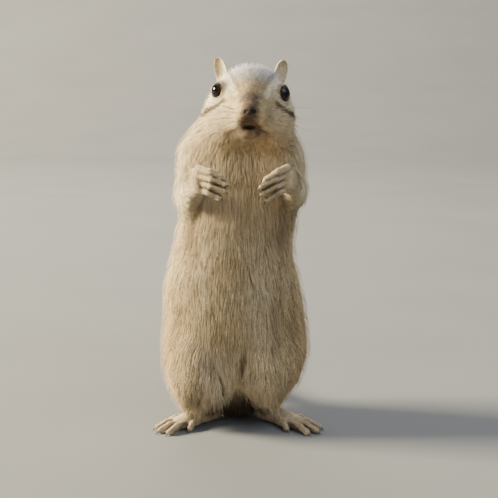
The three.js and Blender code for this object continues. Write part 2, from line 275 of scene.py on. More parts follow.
# The right shin shows as a ridge under the haunch's coat.
part("shank", "haunch", stick((-11.4, -12.2, 30), (-10, -9.4, 14.5), 4.2, 3.7), (-10.6, -11, 22), (6, 6, 14),
     1.6)
for name, arm in ARMS.items():
    part(f"upper_arm_{name}", "arm",
         limb(arm["elbow"], arm["shoulder"], [(0, 5.8, 6.4, 7), (0.5, 7.8, 8.8, 9.6), (1, 9.2, 11, 11.6)],
              (0.7, 0.8), 2.4),
         (np.array(arm["shoulder"]) + arm["elbow"]) / 2, (16, 18, 19), 6)
    part(f"forearm_{name}", "forearm",
         limb(arm["elbow"], arm["wrist"], [(0, 5.2, 5.4, 5.4), (0.5, 4.6, 5, 5), (1, 3.1, 3.6, 3.6)],
              (0.6, 0.5), 1.3),
         (np.array(arm["wrist"]) + arm["elbow"]) / 2, (8, 16, 11), 3)
    # The fold of skin that joins the elbow to the chest and flank.
    elbow = np.array(arm["elbow"], float)
    flank = elbow * [0.74, 0.3, 0.89]
    thick = 4.4 if name == "left" else 3.4
    part(f"elbow_fold_{name}", "trunk", stick(elbow * [0.84, 0.4, 0.98], flank, thick, thick - 1),
         (elbow + flank) / 2, (8, 8, 12), 4)
print("parts so far:", [p["name"] for p in PARTS])

# %% [markdown]
# ## Paws, tail and head
#
# The hind feet are long and flat on the ground, splayed outwards, with five toes each. The forepaws are
# raised as if they held something between them, with four fingers each. Every digit is two rods and a ball,
# so the knuckles and the pads at the tips show. The tail is only a thin core here: its bulk is all hair.

# %% Hands and feet
FOOT = {"long": 33, "splay": math.radians(54), "wide": 4.4}
# Shares of the foot's length from the heel, the middle's height, and how far it reaches sideways and up.
FOOT_SECTIONS = [(0.015, 3.1, 3.1, 3.4), (0.24, 3, 3.7, 3.4), (0.455, 2.6, FOOT["wide"], 3),
                 (0.575, 2.1, FOOT["wide"] - 0.4, 2.3)]
HEEL = (9, 5)
TOE_HALF, FINGER_HALF = 1.25, 1.15
# Where each toe starts, as a share of the foot's length from the heel and millimetres outwards, and its fan and
# length.
TOES = [(0.38, -3.6, -26, 7), (0.53, -2.7, -11, 11), (0.56, -0.4, -1, 12), (0.54, 1.9, 10, 11.4),
        (0.41, 3.6, 24, 8.6)]
FINGERS = [(3.7, 8.8), (1.3, 10.4), (-1.2, 10), (-3.6, 8)]  # how far above the palm's middle, and how long
DIGITS = []


def foot_ahead(s, turn=0.0):
    """The way the foot on side s points, turned outwards by some more degrees."""
    a = FOOT["splay"] + math.radians(turn)
    return np.array([s * math.sin(a), -math.cos(a), 0])


def on_foot(s, ahead, outward, up):
    """A place on the foot: ahead of the heel, towards the outer toes, and above the ground."""
    along = foot_ahead(s)
    out = np.array([-s * along[1], s * along[0], 0])
    return np.array([s * HEEL[0], HEEL[1], up]) + along * ahead + out * outward


def digit(paw, root, knuckle, tip, thick, claw_long, claw_drop, region):
    """A digit as two rods with a ball pad, slimmer than the solid by its thin coat. Its claw comes later."""
    slim = thick - 0.2
    DIGITS.append({"paw": paw, "root": root, "knuckle": knuckle, "tip": tip,
                   "claw_long": claw_long, "claw_drop": claw_drop})
    pad = tip - unit(tip - knuckle) * 0.6 - np.array([0, 0, 0.12 * thick])

    first, second = stick(root, knuckle, slim * 1.15, slim * 0.96), stick(knuckle, tip, slim, slim * 0.8)
    ball = stick(pad, pad + 0.1, slim * 0.96, slim * 0.96)
    part("digit", region, lambda P: soft_min(soft_min(first(P), second(P), 0.3), ball(P), 0.4),
         (root + tip) / 2, np.abs(tip - root) / 2 + 2, 0.8)


for name, s in SIDES.items():
    wrist, palm = np.array(ARMS[name]["wrist"]), np.array(ARMS[name]["palm"])
    beyond = palm + (-s * 0.6, -3.4, 0.6)
    part(f"hand_{name}", "hand",
         limb(wrist, beyond, [(0, 3, 3.4, 3.4), (0.66, 3.1, 4.9, 4.9), (1, 2.5, 4.5, 4.5)], (0.3, 0.5), 0.3),
         (wrist + beyond) / 2, (6, 9, 8), 2.2)
    for rise, long in FINGERS:
        slope = ARMS[name]["slope"]
        root = palm + (-s * 0.6, -3.2, rise + 0.6)
        digit(f"hand_{name}", root, root + (-s * 0.42 * long, -0.4 * long, 0.3 - 0.35 * slope),
              root + (-s * 0.94 * long, -0.5 * long, -slope), FINGER_HALF, 1.9, 1.1, "hand")
    at = on_foot(s, 1.6, 0, 4.4)
    shin = upright([(4.4, at[0], at[1], 3.3, 3.8, 3.8), (11, s * 13.4, 1.6, 5, 6.4, 6.4),
                    (20, s * 16.6, -3.4, 6.6, 8.6, 8.6)])
    part(f"shin_{name}", "shin", tower(shin, (0.2, 0.6), 1.5), (s * 14, 0, 12), (11, 13, 13), 2.5)
    ahead = foot_ahead(s)
    sole = [[share * FOOT["long"], 0, up, wide, high, high] for share, up, wide, high in FOOT_SECTIONS]
    part(f"foot_{name}", "foot",
         lambda P, table=sole, ahead=ahead, heel=on_foot(s, 0, 0, 0.0): loft(
             P, heel, ahead, np.cross(Z_AXIS, ahead), table, (0.8, 0.5), 0.3),
         on_foot(s, 10, 0, 3), (16, 14, 5), 1.5)
    for share, out, fan, long in TOES:
        start = on_foot(s, share * FOOT["long"], out, 2.1)
        way = foot_ahead(s, fan)
        knuckle, tip = start + way * long * 0.45, start + way * long * 0.86
        knuckle[2], tip[2] = 2.7, 1.1
        digit(f"foot_{name}", start, knuckle, tip, TOE_HALF, 2.4, 0.7, "foot")
print("digits:", len(DIGITS))

# %% Tail
TAIL = {"base": 17, "end": 97}
# Shares of the tail's length, its middle sideways and above the ground, and the core's half width and height.
TAIL_CORE = [(0, -1.2, 18, 3.4, 3.6), (0.09, -1.1, 13.6, 3.4, 3.3), (0.2, -0.8, 8, 3.1, 2.8),
             (0.34, 0.2, 4.9, 2.8, 2.4), (0.52, 2, 4.3, 2.5, 2.1), (0.7, 3.6, 4.2, 2.1, 1.8),
             (0.87, 3.8, 3.7, 1.6, 1.5), (0.96, 3, 3, 1.1, 1.1)]


def tail_middle(y):
    """The middle of the tail at y: sideways and above the ground."""
    share = (y - TAIL["base"]) / (TAIL["end"] - TAIL["base"])
    return stations([row[:3] for row in TAIL_CORE], np.clip(share, 0, TAIL_CORE[-1][0]))


tail_table = [[TAIL["base"] + share * (TAIL["end"] - TAIL["base"]), -x, z, wide, high, high]
              for share, x, z, wide, high in TAIL_CORE]
part("tail", "tail", lambda P: loft(P, GROUND, Y_AXIS, -X_AXIS, tail_table, (0.2, 0.9)),
     (1, 56, 10), (10, 44, 14), 4)

# %% [markdown]
# The head is one wedge from the nape to the nose. What makes it a chipmunk's is on top of that: a round mound
# for each bulging eye, an almond opening cut into it, whisker pads, a small chin, a mouth that is a little
# open and turns down at its ends, the cleft under the nose and the comma of each nostril. All of them are
# small forms that are melted into the wedge or taken out of it.

# %% Head
SKULL_SIDE, SKULL_HIGH = 14.6, 13.3
HEAD_PLACES = [-11.7, -6.2, 0, 6, 11.5, 16.5, 20.6, 24]
HEAD_UPS = [0, 0, 0, -0.5, -1.6, -2.6, -3.2, -3.4]
HEAD_SHARES = [(0.62, 0.72, 0.62), (0.91, 1.02, 0.92), (1, 1.14, 1), (0.96, 1.1, 0.98),
               (0.74, 0.94, 0.86), (0.51, 0.76, 0.66), (0.39, 0.54, 0.47), (0.27, 0.32, 0.3)]
HEAD_COAT = [2.2, 2.1, 1.9, 1.6, 1.1, 0.8, 0.5, 0.3]  # how deep the coat is at each place
CHEEK = {"ahead": 2 + 5 / 6, "below": math.radians(36), "swell": 5.6}


def cheeks(s, angle):
    """The full cheeks: a bump on each side, below the level of the skull, falling off like a bell curve."""
    along = (np.interp(s, HEAD_PLACES, range(len(HEAD_PLACES))) - CHEEK["ahead"]) / 1.5
    total = 0
    for centre in (math.pi + CHEEK["below"], 2 * math.pi - CHEEK["below"]):
        off = np.arctan2(np.sin(angle - centre), np.cos(angle - centre)) / math.radians(36)
        total = total + CHEEK["swell"] * np.exp(-off**2 - along**2)
    return total


head_table = [[place, 0, up, side * SKULL_SIDE - coat, down * SKULL_HIGH - coat, high * SKULL_HIGH - coat]
              for place, up, (side, down, high), coat in zip(HEAD_PLACES, HEAD_UPS, HEAD_SHARES, HEAD_COAT)]
EYE_BALL = 3.4
EYES = {}
for name, s in SIDES.items():
    gaze = unit(s * 0.76 * HEAD_SIDE + 0.62 * HEAD_AHEAD + 0.16 * HEAD_UP)
    # From the back to the front corner.
    corner = unit(0.8 * HEAD_AHEAD - 0.42 * HEAD_UP - s * 0.3 * HEAD_SIDE)
    corner = unit(corner - gaze * (corner @ gaze))
    EYES[name] = {"middle": on_head(s * EYE["side"], EYE["ahead"], EYE["up"]),
                  "gaze": gaze, "corner": corner, "lid": np.cross(gaze, corner) * s}
print("cheeks swell by", CHEEK["swell"], "mm, eyeballs have a radius of", EYE_BALL, "mm")

# %% Face
MOUTH = [(0, 24.4, -7.8), (2.6, 22.6, -8.5), (5.2, 19, -10.2), (8, 14.4, -12.6)]
THROAT, THROAT_RADII = on_head(0, 22.3, -8.9), (2.8, 3.4, 1.05)
NOSE = on_head(0, 25.9, -2.6)
NOSTRIL = [(0.7, 26.9, -2.5), (1.75, 26.1, -3.1)]
# The grooves of one half of the face, each from a place to a place with its radius: mouth, nostril and cleft.
GROOVES = [(MOUTH[1], MOUTH[2], 0.45), (MOUTH[2], MOUTH[3], 0.3), (*NOSTRIL, 0.5),
           ((0, 27.1, -3.7), (0, 25.2, -7.4), 0.3)]
LID_MOUND = 3.6
# Of the lids: an egg round a place ahead of the eye's middle.
OPENING = {"out": 3.0, "radii": (3.4, 3.1, 2.45)}


def carve(d, tool, k):
    """The distance d with the tool's form taken out of it, with a soft edge of size k."""
    return -soft_min(-d, tool, k)


def face(P, d):
    """The face's small forms, melted into the distance d or taken out of it."""
    for s in SIDES.values():
        d = soft_min(d, egg(P, on_head(s * 2.8, 21.6, -5.3), (3.0, 4.2, 2.7)), 1.4)  # whisker pad
    d = soft_min(d, egg(P, on_head(0, 16.2, -11.3), (3.5, 4.4, 2.0)), 1.6)  # chin
    d = soft_min(d, egg(P, on_head(0, 24.9, -2.6), (1.85, 1.8, 1.45)), 0.7)  # nose
    d = carve(d, egg(P, THROAT, THROAT_RADII), 0.5)  # the open mouth
    for s in SIDES.values():
        for a, b, r in GROOVES:
            d = carve(d, rod(P, on_head(s * a[0], *a[1:]), on_head(s * b[0], *b[1:]), r, r), 0.5)
    for eye in EYES.values():
        d = soft_min(d, rod(P, eye["middle"], eye["middle"] + 0.1, LID_MOUND, LID_MOUND), 3.2)
        centre = eye["middle"] + eye["gaze"] * OPENING["out"]
        d = carve(d, egg(P, centre, OPENING["radii"], (eye["corner"], eye["lid"], eye["gaze"]), 1e-3), 0.3)
    return d


# Creases of the lower body: where the haunches meet, and on both sides of the right shin.
CREASES = [[(2.2, -20, 42), (1.4, -18.6, 33), (0.4, -15.6, 23)],
           [(-13, -17.4, 36), (-8.4, -17, 31), (-6.2, -15, 24), (-5.6, -12, 15)],
           [(-15.4, -16, 24), (-15.8, -12.6, 14)]]


def creased(P, d):
    """The creases, pressed into the distance d as grooves with soft edges."""
    for line in CREASES:
        for a, b in zip(line[:-1], line[1:]):
            d = carve(d, rod(P, a, b, 0.7, 0.7), 2.4)
    return d


part("head", "head", lambda P: loft(P, SKULL, HEAD_AHEAD, HEAD_SIDE, head_table, (0.5, 0.6), 0, cheeks),
     SKULL + (0, -7, -1), (21, 22, 19), 5)

# %% The whole skin as one distance
FACE_BOX = SKULL - (17, 30, 17), SKULL + (17, 2, 12)
CREASE_BOX = (-22, -25, 9), (8, -5, 46)
FAR_OFF = 30.0
SOLE_LEVEL = 0.02  # the skin ends just above the ground


def inside_box(P, low, high):
    """Which of the points lie in a box."""
    found = (P[0] > low[0]) & (P[0] < high[0])
    for i in (1, 2):
        found &= (P[i] > low[i]) & (P[i] < high[i])
    return found


def skin_at(P):
    """The signed distance of every point from the skin: all parts melted together, with the face and the creases
    worked into them, cut at the ground."""
    d = np.full(P[0].shape, FAR_OFF)
    for piece in PARTS:
        near = inside_box(P, piece["low"], piece["high"])
        Q = [v[near] for v in P]
        d[near] = soft_min(d[near], piece["of"](Q), piece["blend"])
    for detail, box in ((face, FACE_BOX), (creased, CREASE_BOX)):
        near = inside_box(P, *box)
        d[near] = detail([v[near] for v in P], d[near])
    return np.maximum(d, SOLE_LEVEL - P[2])


def slope_at(points, step=0.04):
    """The field and its gradient at points (N, 3), from samples at the corners of a small tetrahedron."""
    corners = np.array([[1, -1, -1], [-1, -1, 1], [-1, 1, -1], [1, 1, 1]], float)
    values = [skin_at(list((points + step * c).T)) for c in corners]
    slope = sum(v[:, None] * c for v, c in zip(values, corners)) / (4 * step)
    return sum(values) / 4, slope


print("parts in all:", len(PARTS))

# %% [markdown]
# ## From distances to a mesh
#
# The skin is where the distance is zero. A grid of points is laid over the body, finer where the paws, face
# and toes are, and a surface net is drawn through it: one vertex in every grid cell that the skin crosses,
# and a quad round every grid edge that it crosses. The vertices are then pulled onto the true surface along
# the slope of the field, which gives the evenness that a marching cubes mesh lacks.

# %% Surface net
def grid_line(*stretches):
    """Places along one axis: each stretch is its start, its end and its step."""
    places = [np.arange(low, high - step / 3, step) for low, high, step in stretches]
    return np.append(np.concatenate(places), stretches[-1][1])


def surface_net(xs, ys, zs):
    """Vertices and quads of the skin: a vertex per crossed cell, at the mean of the crossings of its edges."""
    grid = np.meshgrid(xs, ys, zs, indexing="ij")
    D = skin_at([g.ravel() for g in grid]).reshape(grid[0].shape)
    solid = D < 0
    n = [m - 1 for m in D.shape]
    count = sum(solid[i:i + n[0], j:j + n[1], k:k + n[2]].astype(np.int8) for i, j, k in np.ndindex(2, 2, 2))
    cells = np.argwhere((count > 0) & (count < 8))
    number = np.full(n, -1, np.int64)
    number[tuple(cells.T)] = np.arange(len(cells))
    lines = (xs, ys, zs)
    total, crossings = np.zeros((len(cells), 3)), np.zeros(len(cells))
    for axis in range(3):
        for other in np.ndindex(2, 2):
            a = np.insert(np.array(other), axis, 0)
            b = np.insert(np.array(other), axis, 1)
            ia, ib = cells + a, cells + b
            da, db = D[tuple(ia.T)], D[tuple(ib.T)]
            hit = (da < 0) != (db < 0)
            t = np.where(hit, da / np.where(hit, da - db, 1), 0)
            pa = np.stack([lines[i][ia[:, i]] for i in range(3)], 1)
            pb = np.stack([lines[i][ib[:, i]] for i in range(3)], 1)
            total += np.where(hit[:, None], pa + t[:, None] * (pb - pa), 0)
            crossings += hit
    quads = []
    for axis in range(3):
        u, v = (axis + 1) % 3, (axis + 2) % 3
        first, second = (np.moveaxis(solid, axis, 0)[part] for part in (slice(None, -1), slice(1, None)))
        edges = np.argwhere(np.moveaxis(first != second, 0, axis))
        edges = edges[(edges[:, u] > 0) & (edges[:, v] > 0) & (edges[:, u] < n[u]) & (edges[:, v] < n[v])]
        du, dv = np.eye(3, dtype=int)[u], np.eye(3, dtype=int)[v]
        ring = [edges - du - dv, edges - dv, edges, edges - du]
        quad = np.stack([number[tuple(r.T)] for r in ring], 1)
        starts_solid = solid[tuple(edges.T)]
        quads.append(np.where(starts_solid[:, None], quad, quad[:, ::-1]))
    return total / crossings[:, None], np.concatenate(quads)


def step_to_skin(far, slope, gentlest=0.2):
    """The step that takes a point at a signed distance to the skin, along the slope of the field."""
    return -far[:, None] * slope / np.maximum((slope**2).sum(1), gentlest)[:, None]


xs = grid_line((-40, -17, 0.8), (-17, 27, 0.5), (27, 40, 0.8))
ys = grid_line((-47, 6, 0.5), (6, 30, 0.9), (30, 100, 1.3))
zs = grid_line((-0.5, 8, 0.4), (8, 90, 1.0), (90, 150, 0.5))
skin_points, skin_quads = surface_net(xs, ys, zs)
for _ in range(3):
    skin_points += np.clip(step_to_skin(*slope_at(skin_points)), -0.35, 0.35)
skin_normals = unit(slope_at(skin_points)[1])
print("skin:", len(skin_points), "vertices,", 2 * len(skin_quads), "triangles")

# %% [markdown]
# The ears are too thin for that grid, so each is a surface of its own: a leaf with a rounded tip, bowed into
# a scoop. Its section is a flattened ring that follows the bow, a little thicker at the rim, which is where
# the edge of a real ear is rolled. The foot of the leaf is sunk in the head.

# %% Ears
EAR = {"long": 11.4, "wide": 3.5, "bow": 1.9, "middle": 0.45}
# Heights on the ear, as shares of its length from the head, and its half width there as a share of the widest.
EAR_LEAF = [[-0.16, 0.5], [0, 0.6], [0.2, 0.78], [0.42, 0.96], [0.62, 0.98], [0.8, 0.84], [0.92, 0.58],
            [0.98, 0.32], [1, 0.08]]


def ear(s, rows=34, around=44):
    """Points on a grid: at height h and angle v the point is root + up h + sideways w(h) cos v, moved back by
    the bow times 1 - cos^2 v, and forwards or back by half the wall times sin v."""
    root = on_head(s * 9.9, -2.6, 4.4)
    up = unit([s * 0.235, 0.06, 1])
    front = np.array([s * 0.74, -0.67, 0])
    front = unit(front - up * (front @ up))
    wide = np.cross(front, up)
    h = EAR_LEAF[0][0] + (1 - EAR_LEAF[0][0]) * np.sin(np.linspace(0, math.pi / 2, rows))[:, None]
    v = np.linspace(0, 2 * math.pi, around, endpoint=False)[None, :]
    share = stations(EAR_LEAF, h)[0]
    u = np.cos(v)
    notch = 0.4 * np.exp(-(((u * s + 0.5) / 0.16) ** 2) - ((h - 0.22) / 0.2) ** 2) * (np.sin(v) > 0)
    wall = (0.3 + 0.5 * np.clip(0.3 - h, 0, 1) + 0.16 * np.abs(u) ** 6) * np.sqrt(np.clip(share * 1.6, 0, 1))
    deep = EAR["middle"] - EAR["bow"] * share * (1 - u**2) + wall * np.sin(v) + notch
    across, high = u * share * EAR["wide"], h * EAR["long"] + 0 * v
    return root + up * high[..., None] + wide * across[..., None] + front * deep[..., None]


def ring_faces(rows, around):
    """Quads between neighbouring rings of a grid whose rings close on themselves."""
    r, c = np.meshgrid(np.arange(rows - 1), np.arange(around), indexing="ij")
    a, b = r * around + c, r * around + (c + 1) % around
    return np.stack([a, b, b + around, a + around], -1).reshape(-1, 4)


def grid_normals(grid):
    """Normals of a grid of points whose rings close, from its two tangents."""
    return unit(np.cross(np.roll(grid, -1, 1) - np.roll(grid, 1, 1), np.gradient(grid, axis=0)))


points, normals, quads = [skin_points], [skin_normals], [skin_quads]
caps = []  # the two open ends of each ear, closed by one face each
for s in SIDES.values():
    grid = ear(s)
    rows, around = grid.shape[:2]
    n = grid_normals(grid)
    half_way = grid[rows // 2]
    n = (n if (n[rows // 2] * (half_way - half_way.mean(0))).sum() > 0 else -n).reshape(-1, 3)
    first = sum(len(p) for p in points)
    grid = grid.reshape(-1, 3)
    faces = ring_faces(rows, around)
    a, b, c = (grid[faces[:, i]] for i in range(3))
    outwards = (np.cross(b - a, c - b) * n[faces[:, 0]]).sum() > 0
    low_ring = first + np.arange(around)
    high_ring = low_ring + (rows - 1) * around
    caps += [low_ring[::-1], high_ring] if outwards else [low_ring, high_ring[::-1]]
    quads.append(first + (faces if outwards else faces[:, ::-1]))
    points.append(grid)
    normals.append(n)
all_points, all_normals, all_quads = (np.concatenate(v) for v in (points, normals, quads))
in_ear = np.arange(len(all_points)) >= len(skin_points)
print("with the ears:", len(all_points), "vertices")

# %% [markdown]
# ## Where the skin belongs to which part
#
# The lie of the coat, its length and its colours all change from part to part, and they change gradually. So
# every vertex of the skin gets a share of each region, from how near the regions' forms are, and whatever
# depends on the region is the mean of the regions' values by those shares.

# %% Shares of the regions
REGIONS = ["trunk", "neck", "haunch", "shin", "foot", "arm", "forearm", "hand", "head", "tail", "ear"]
R = {name: i for i, name in enumerate(REGIONS)}


def region_shares(points, softness=1.1):
    """Shares (N, regions) that add up to 1: each is exp(-distance / softness) of the region's nearest part."""
    P = list(points.T)
    far = np.full((len(points), len(REGIONS)), FAR_OFF + 10)
    for piece in PARTS:
        near = inside_box(P, piece["low"], piece["high"])
        column = R[piece["region"]]
        far[near, column] = np.minimum(far[near, column], piece["of"]([v[near] for v in P]))
    weight = np.exp(-(far - far.min(1, keepdims=True)) / softness)
    return weight / weight.sum(1, keepdims=True)


shares = region_shares(all_points)
shares[in_ear] = np.eye(len(REGIONS))[R["ear"]]
print("vertices by region:", dict(zip(REGIONS, np.bincount(shares.argmax(1), minlength=11).tolist())))

# %% [markdown]
# ## Markings
#
# The species' markings are worked out from places on the body, so that skin and hair carry the same ones. On
# the back, five dark and two pale stripes run from the shoulders to the rump, at fixed distances from the
# midline. On the face, pale and dark lines run above, through and below the eye. The crown is grizzled grey,
# the rump and haunches are rufous, the flanks tawny, and throat, chest and belly a pale buff.

# %% Helpers for the markings
DOWN = np.array([0.0, 0, -1])
MARKS = ["belly", "rufous", "grey", "pale", "dark", "brown", "bare", "tail"]


def smooth(low, high, v):
    """0 below low, 1 above high, and a smooth S between."""
    t = np.clip((v - low) / (high - low), 0, 1)
    return t * t * (3 - 2 * t)


def fade(low, high, v):
    """1 below low, 0 above high, and a smooth S between."""
    return 1 - smooth(low, high, v)


def ripple(points, seed, size):
    """Smooth noise between about -1 and 1: the mean of six sine waves that run in random directions."""
    rng = np.random.default_rng(seed)
    total = 0
    for _ in range(6):
        way = unit(rng.normal(size=3)) * rng.uniform(0.7, 1.5) * 2 * math.pi / size
        total = total + np.sin(points @ way + rng.uniform(0, 2 * math.pi))
    return total / 3


def on_skin(points, steps=6):
    """The points moved onto the skin along the field's slope."""
    points = np.array(points, float)
    for _ in range(steps):
        points = points + step_to_skin(*slope_at(points))
    return points


def face_line(s, places, steps=8):
    """A line on the face through places given as sideways, ahead and up, laid onto the skin."""
    t = np.linspace(0, len(places) - 1, steps * (len(places) - 1) + 1)
    side, ahead, up = (v[:, None] for v in stations([[i, *p] for i, p in enumerate(places)], t))
    return on_skin(SKULL + s * side * HEAD_SIDE + ahead * HEAD_AHEAD + up * HEAD_UP)


def beside(points, line):
    """The distance of each point from a line of short segments."""
    nearest = np.full(len(points), 1e3)
    for a, b in zip(line[:-1], line[1:]):
        t = np.clip((points - a) @ (b - a) / ((b - a) @ (b - a) + 1e-9), 0, 1)
        nearest = np.minimum(nearest, np.linalg.norm(points - a - t[:, None] * (b - a), axis=1))
    return nearest


# %% Lines of the face, the creases and the paws
# Each line's marking, strength, half width and places (sideways, ahead and up on the head).
FACE_LINES = {
    "brow": ("pale", 0.7, 1.3, [(10.6, -4, 8.2), (11, 2, 8.6), (9.4, 8.6, 7.2), (7.2, 13.4, 4.8),
                                (5.4, 17, 2.4)]),
    "above_eye": ("brown", 0.5, 1.0, [(8, -2, 10.2), (7.8, 5, 9.6), (6, 11.5, 7.4), (4.4, 15, 5.2)]),
    "through_eye": ("dark", 0.85, 0.75, [(13, -12, 4.6), (12.8, -7, 4.4), (13, -1, 4.2), (12.8, 3.6, 4)]),
    "under_eye": ("pale", 0.75, 1.7, [(16, -3, -3.4), (15, 5, -2), (12.2, 9.6, -0.8), (9.6, 13, 0.6)]),
    "cheek": ("dark", 0.95, 1.05, [(18, -3, -8), (17.2, 4, -6.4), (13.4, 9, -3.6), (9, 13.2, -0.4)]),
}
LINES = [(mark, strength, width, face_line(s, places))
         for mark, strength, width, places in FACE_LINES.values() for s in SIDES.values()]
MOUTH_LINES = [face_line(s, MOUTH) for s in SIDES.values()]
CREASE_LINES = [on_skin(line) for line in CREASES]
# The gap between each digit and the next of its paw, from root to tip.
GAPS = [np.array([(one[k] + other[k]) / 2 for k in ("root", "knuckle", "tip")])
        for one, other in zip(DIGITS[:-1], DIGITS[1:]) if one["paw"] == other["paw"]]
NOSTRIL_LINES = [np.array([on_head(s * a, b, c) for a, b, c in NOSTRIL]) for s in SIDES.values()]
print("lines:", len(LINES), "gaps between digits:", len(GAPS))


# %% Markings of the body
# Heights, and where the body's middle is there.
AXIS_X = [12, 58, 84, 98, 114, 133], [-1.6, -2, -0.6, 0.9, 1.2, 4.5]
AXIS_Y = [12, 32, 58, 98, 133], [8, 4, 1, -2, -6.5]
STRIPE_EDGE = 0.45


def mark_body(m, points, share):
    """Stripes of the back, pale belly, rufous rump, darker hair of the flanks, and painted shade under the arms.
    """
    x, y, z = points.T
    wavy, streak = ripple(points, 3, 26), ripple(points * [1, 1, 0.3], 31, 6)
    x0, y0 = np.interp(z, *AXIS_X), np.interp(z, *AXIS_Y)
    out = np.abs(x - x0)
    turn = np.abs(np.arctan2(x - x0, y - y0))  # 0 on the middle of the back, pi in front
    back = share["trunk"] + share["neck"] + share["haunch"]
    body = back + share["arm"]
    back = back + share["arm"] * smooth(5, 9, y - y0)
    striped = smooth(30, 44, z) * fade(112, 124, z) * back * (turn < 1.6)
    wide = 0.75 + 0.25 * smooth(40, 80, z)  # the stripes draw together towards the rump
    from_midline = (turn * np.hypot(x - x0, y - y0) + 0.5 * wavy) / (wide * 1.05)

    def band(low, high):
        """1 between two distances from the midline, with soft edges."""
        return (smooth(low - STRIPE_EDGE, low + STRIPE_EDGE, from_midline)
                * fade(high - STRIPE_EDGE, high + STRIPE_EDGE, from_midline))

    m["dark"] += striped * (band(-9, 1.2) + band(7.4, 9.7) + band(13.2, 15.4))
    m["pale"] += striped * band(9.8, 13.1)
    m["grey"] += striped * band(1.3, 7.3) * 0.6
    low = fade(52, 74, z) - 1.6 * smooth(88, 104, z)
    m["belly"] += body * smooth(1.8 + 0.15 * low, 2.4 + 0.35 * low, turn + 0.12 * wavy + 0.1 * streak)
    wash = fade(3, 11, np.abs(x - x0 + 2)) * smooth(34, 46, z) * fade(76, 90, z) * smooth(2, 2.4, turn)
    m["belly"] *= 1 - 0.45 * wash * (0.8 + 0.3 * wavy)
    m["pale"] += 0.25 * body * smooth(2.2, 2.7, turn) * (1 - wash) * fade(80, 94, z)
    outer = smooth(9, 17, out) * fade(2.45, 2.75, turn) * smooth(10, 20, z) * fade(58, 76, z)
    m["brown"] += body * outer * smooth(-0.5, 1.2, streak + 0.4 * wavy) * 0.42
    # Painted shade: darker brown on the flank under each arm, where the arm shades the body.
    painted_shade_under_arm = np.exp(-(((out - 17.5) / 5.5) ** 2)) * smooth(66, 90, z) * fade(94, 102, z)
    m["brown"] += share["trunk"] * painted_shade_under_arm * smooth(1.7, 2.2, turn) * (0.66 + 0.25 * streak)
    m["rufous"] += (share["trunk"] + share["haunch"]) * fade(34, 58, z) * fade(1.5, 2.4, turn)
    m["pale"] += 0.2 * share["arm"] * (y < y0)


# %% Markings of limbs and tail
def mark_limbs(m, points, share):
    """Pale limbs and ears; painted shade between legs, in creases, between digits and low on the shins."""
    x, y, z = points.T
    m["belly"] += share["shin"] * 0.5
    m["belly"] = np.maximum(m["belly"], share["forearm"] * 0.6 + share["hand"] * 0.7
                            + share["foot"] * 0.6 + share["ear"] * 0.45)
    m["bare"] += 0.12 * share["hand"] + 0.16 * share["foot"] + 0.14 * share["ear"]
    m["pale"] += 0.3 * share["shin"] + 0.12 * share["foot"] + 0.5 * share["ear"] + 0.3 * share["forearm"]
    # Painted shade: darker brown low between the haunches and under the seat, where shadow falls.
    between = fade(11, 23, z) * fade(8.5, 13.5, np.abs(x - MIDDLE + 0.6)) * fade(8, 16, y)
    m["brown"] += between * (1 - share["foot"])
    for line in CREASE_LINES:  # painted shade along the creases, where the coat also parts
        m["brown"] += 0.75 * fade(0.3, 1.8, beside(points, line)) * fade(28, 42, z)
    # Painted shade in the gaps between the digits of each paw.
    paw = share["hand"] + share["foot"] > 0.02
    for line in GAPS:
        m["brown"][paw] = np.maximum(m["brown"][paw], 0.9 * fade(0.35, 1.2, beside(points[paw], line)))
    # Painted shade low on the shins, darker towards the ground.
    m["brown"] += 0.7 * share["shin"] * fade(9, 18, z + 1.5 * ripple(points, 3, 26))
    m["tail"] += share["tail"]
    m["rufous"] += share["tail"] * 0.5


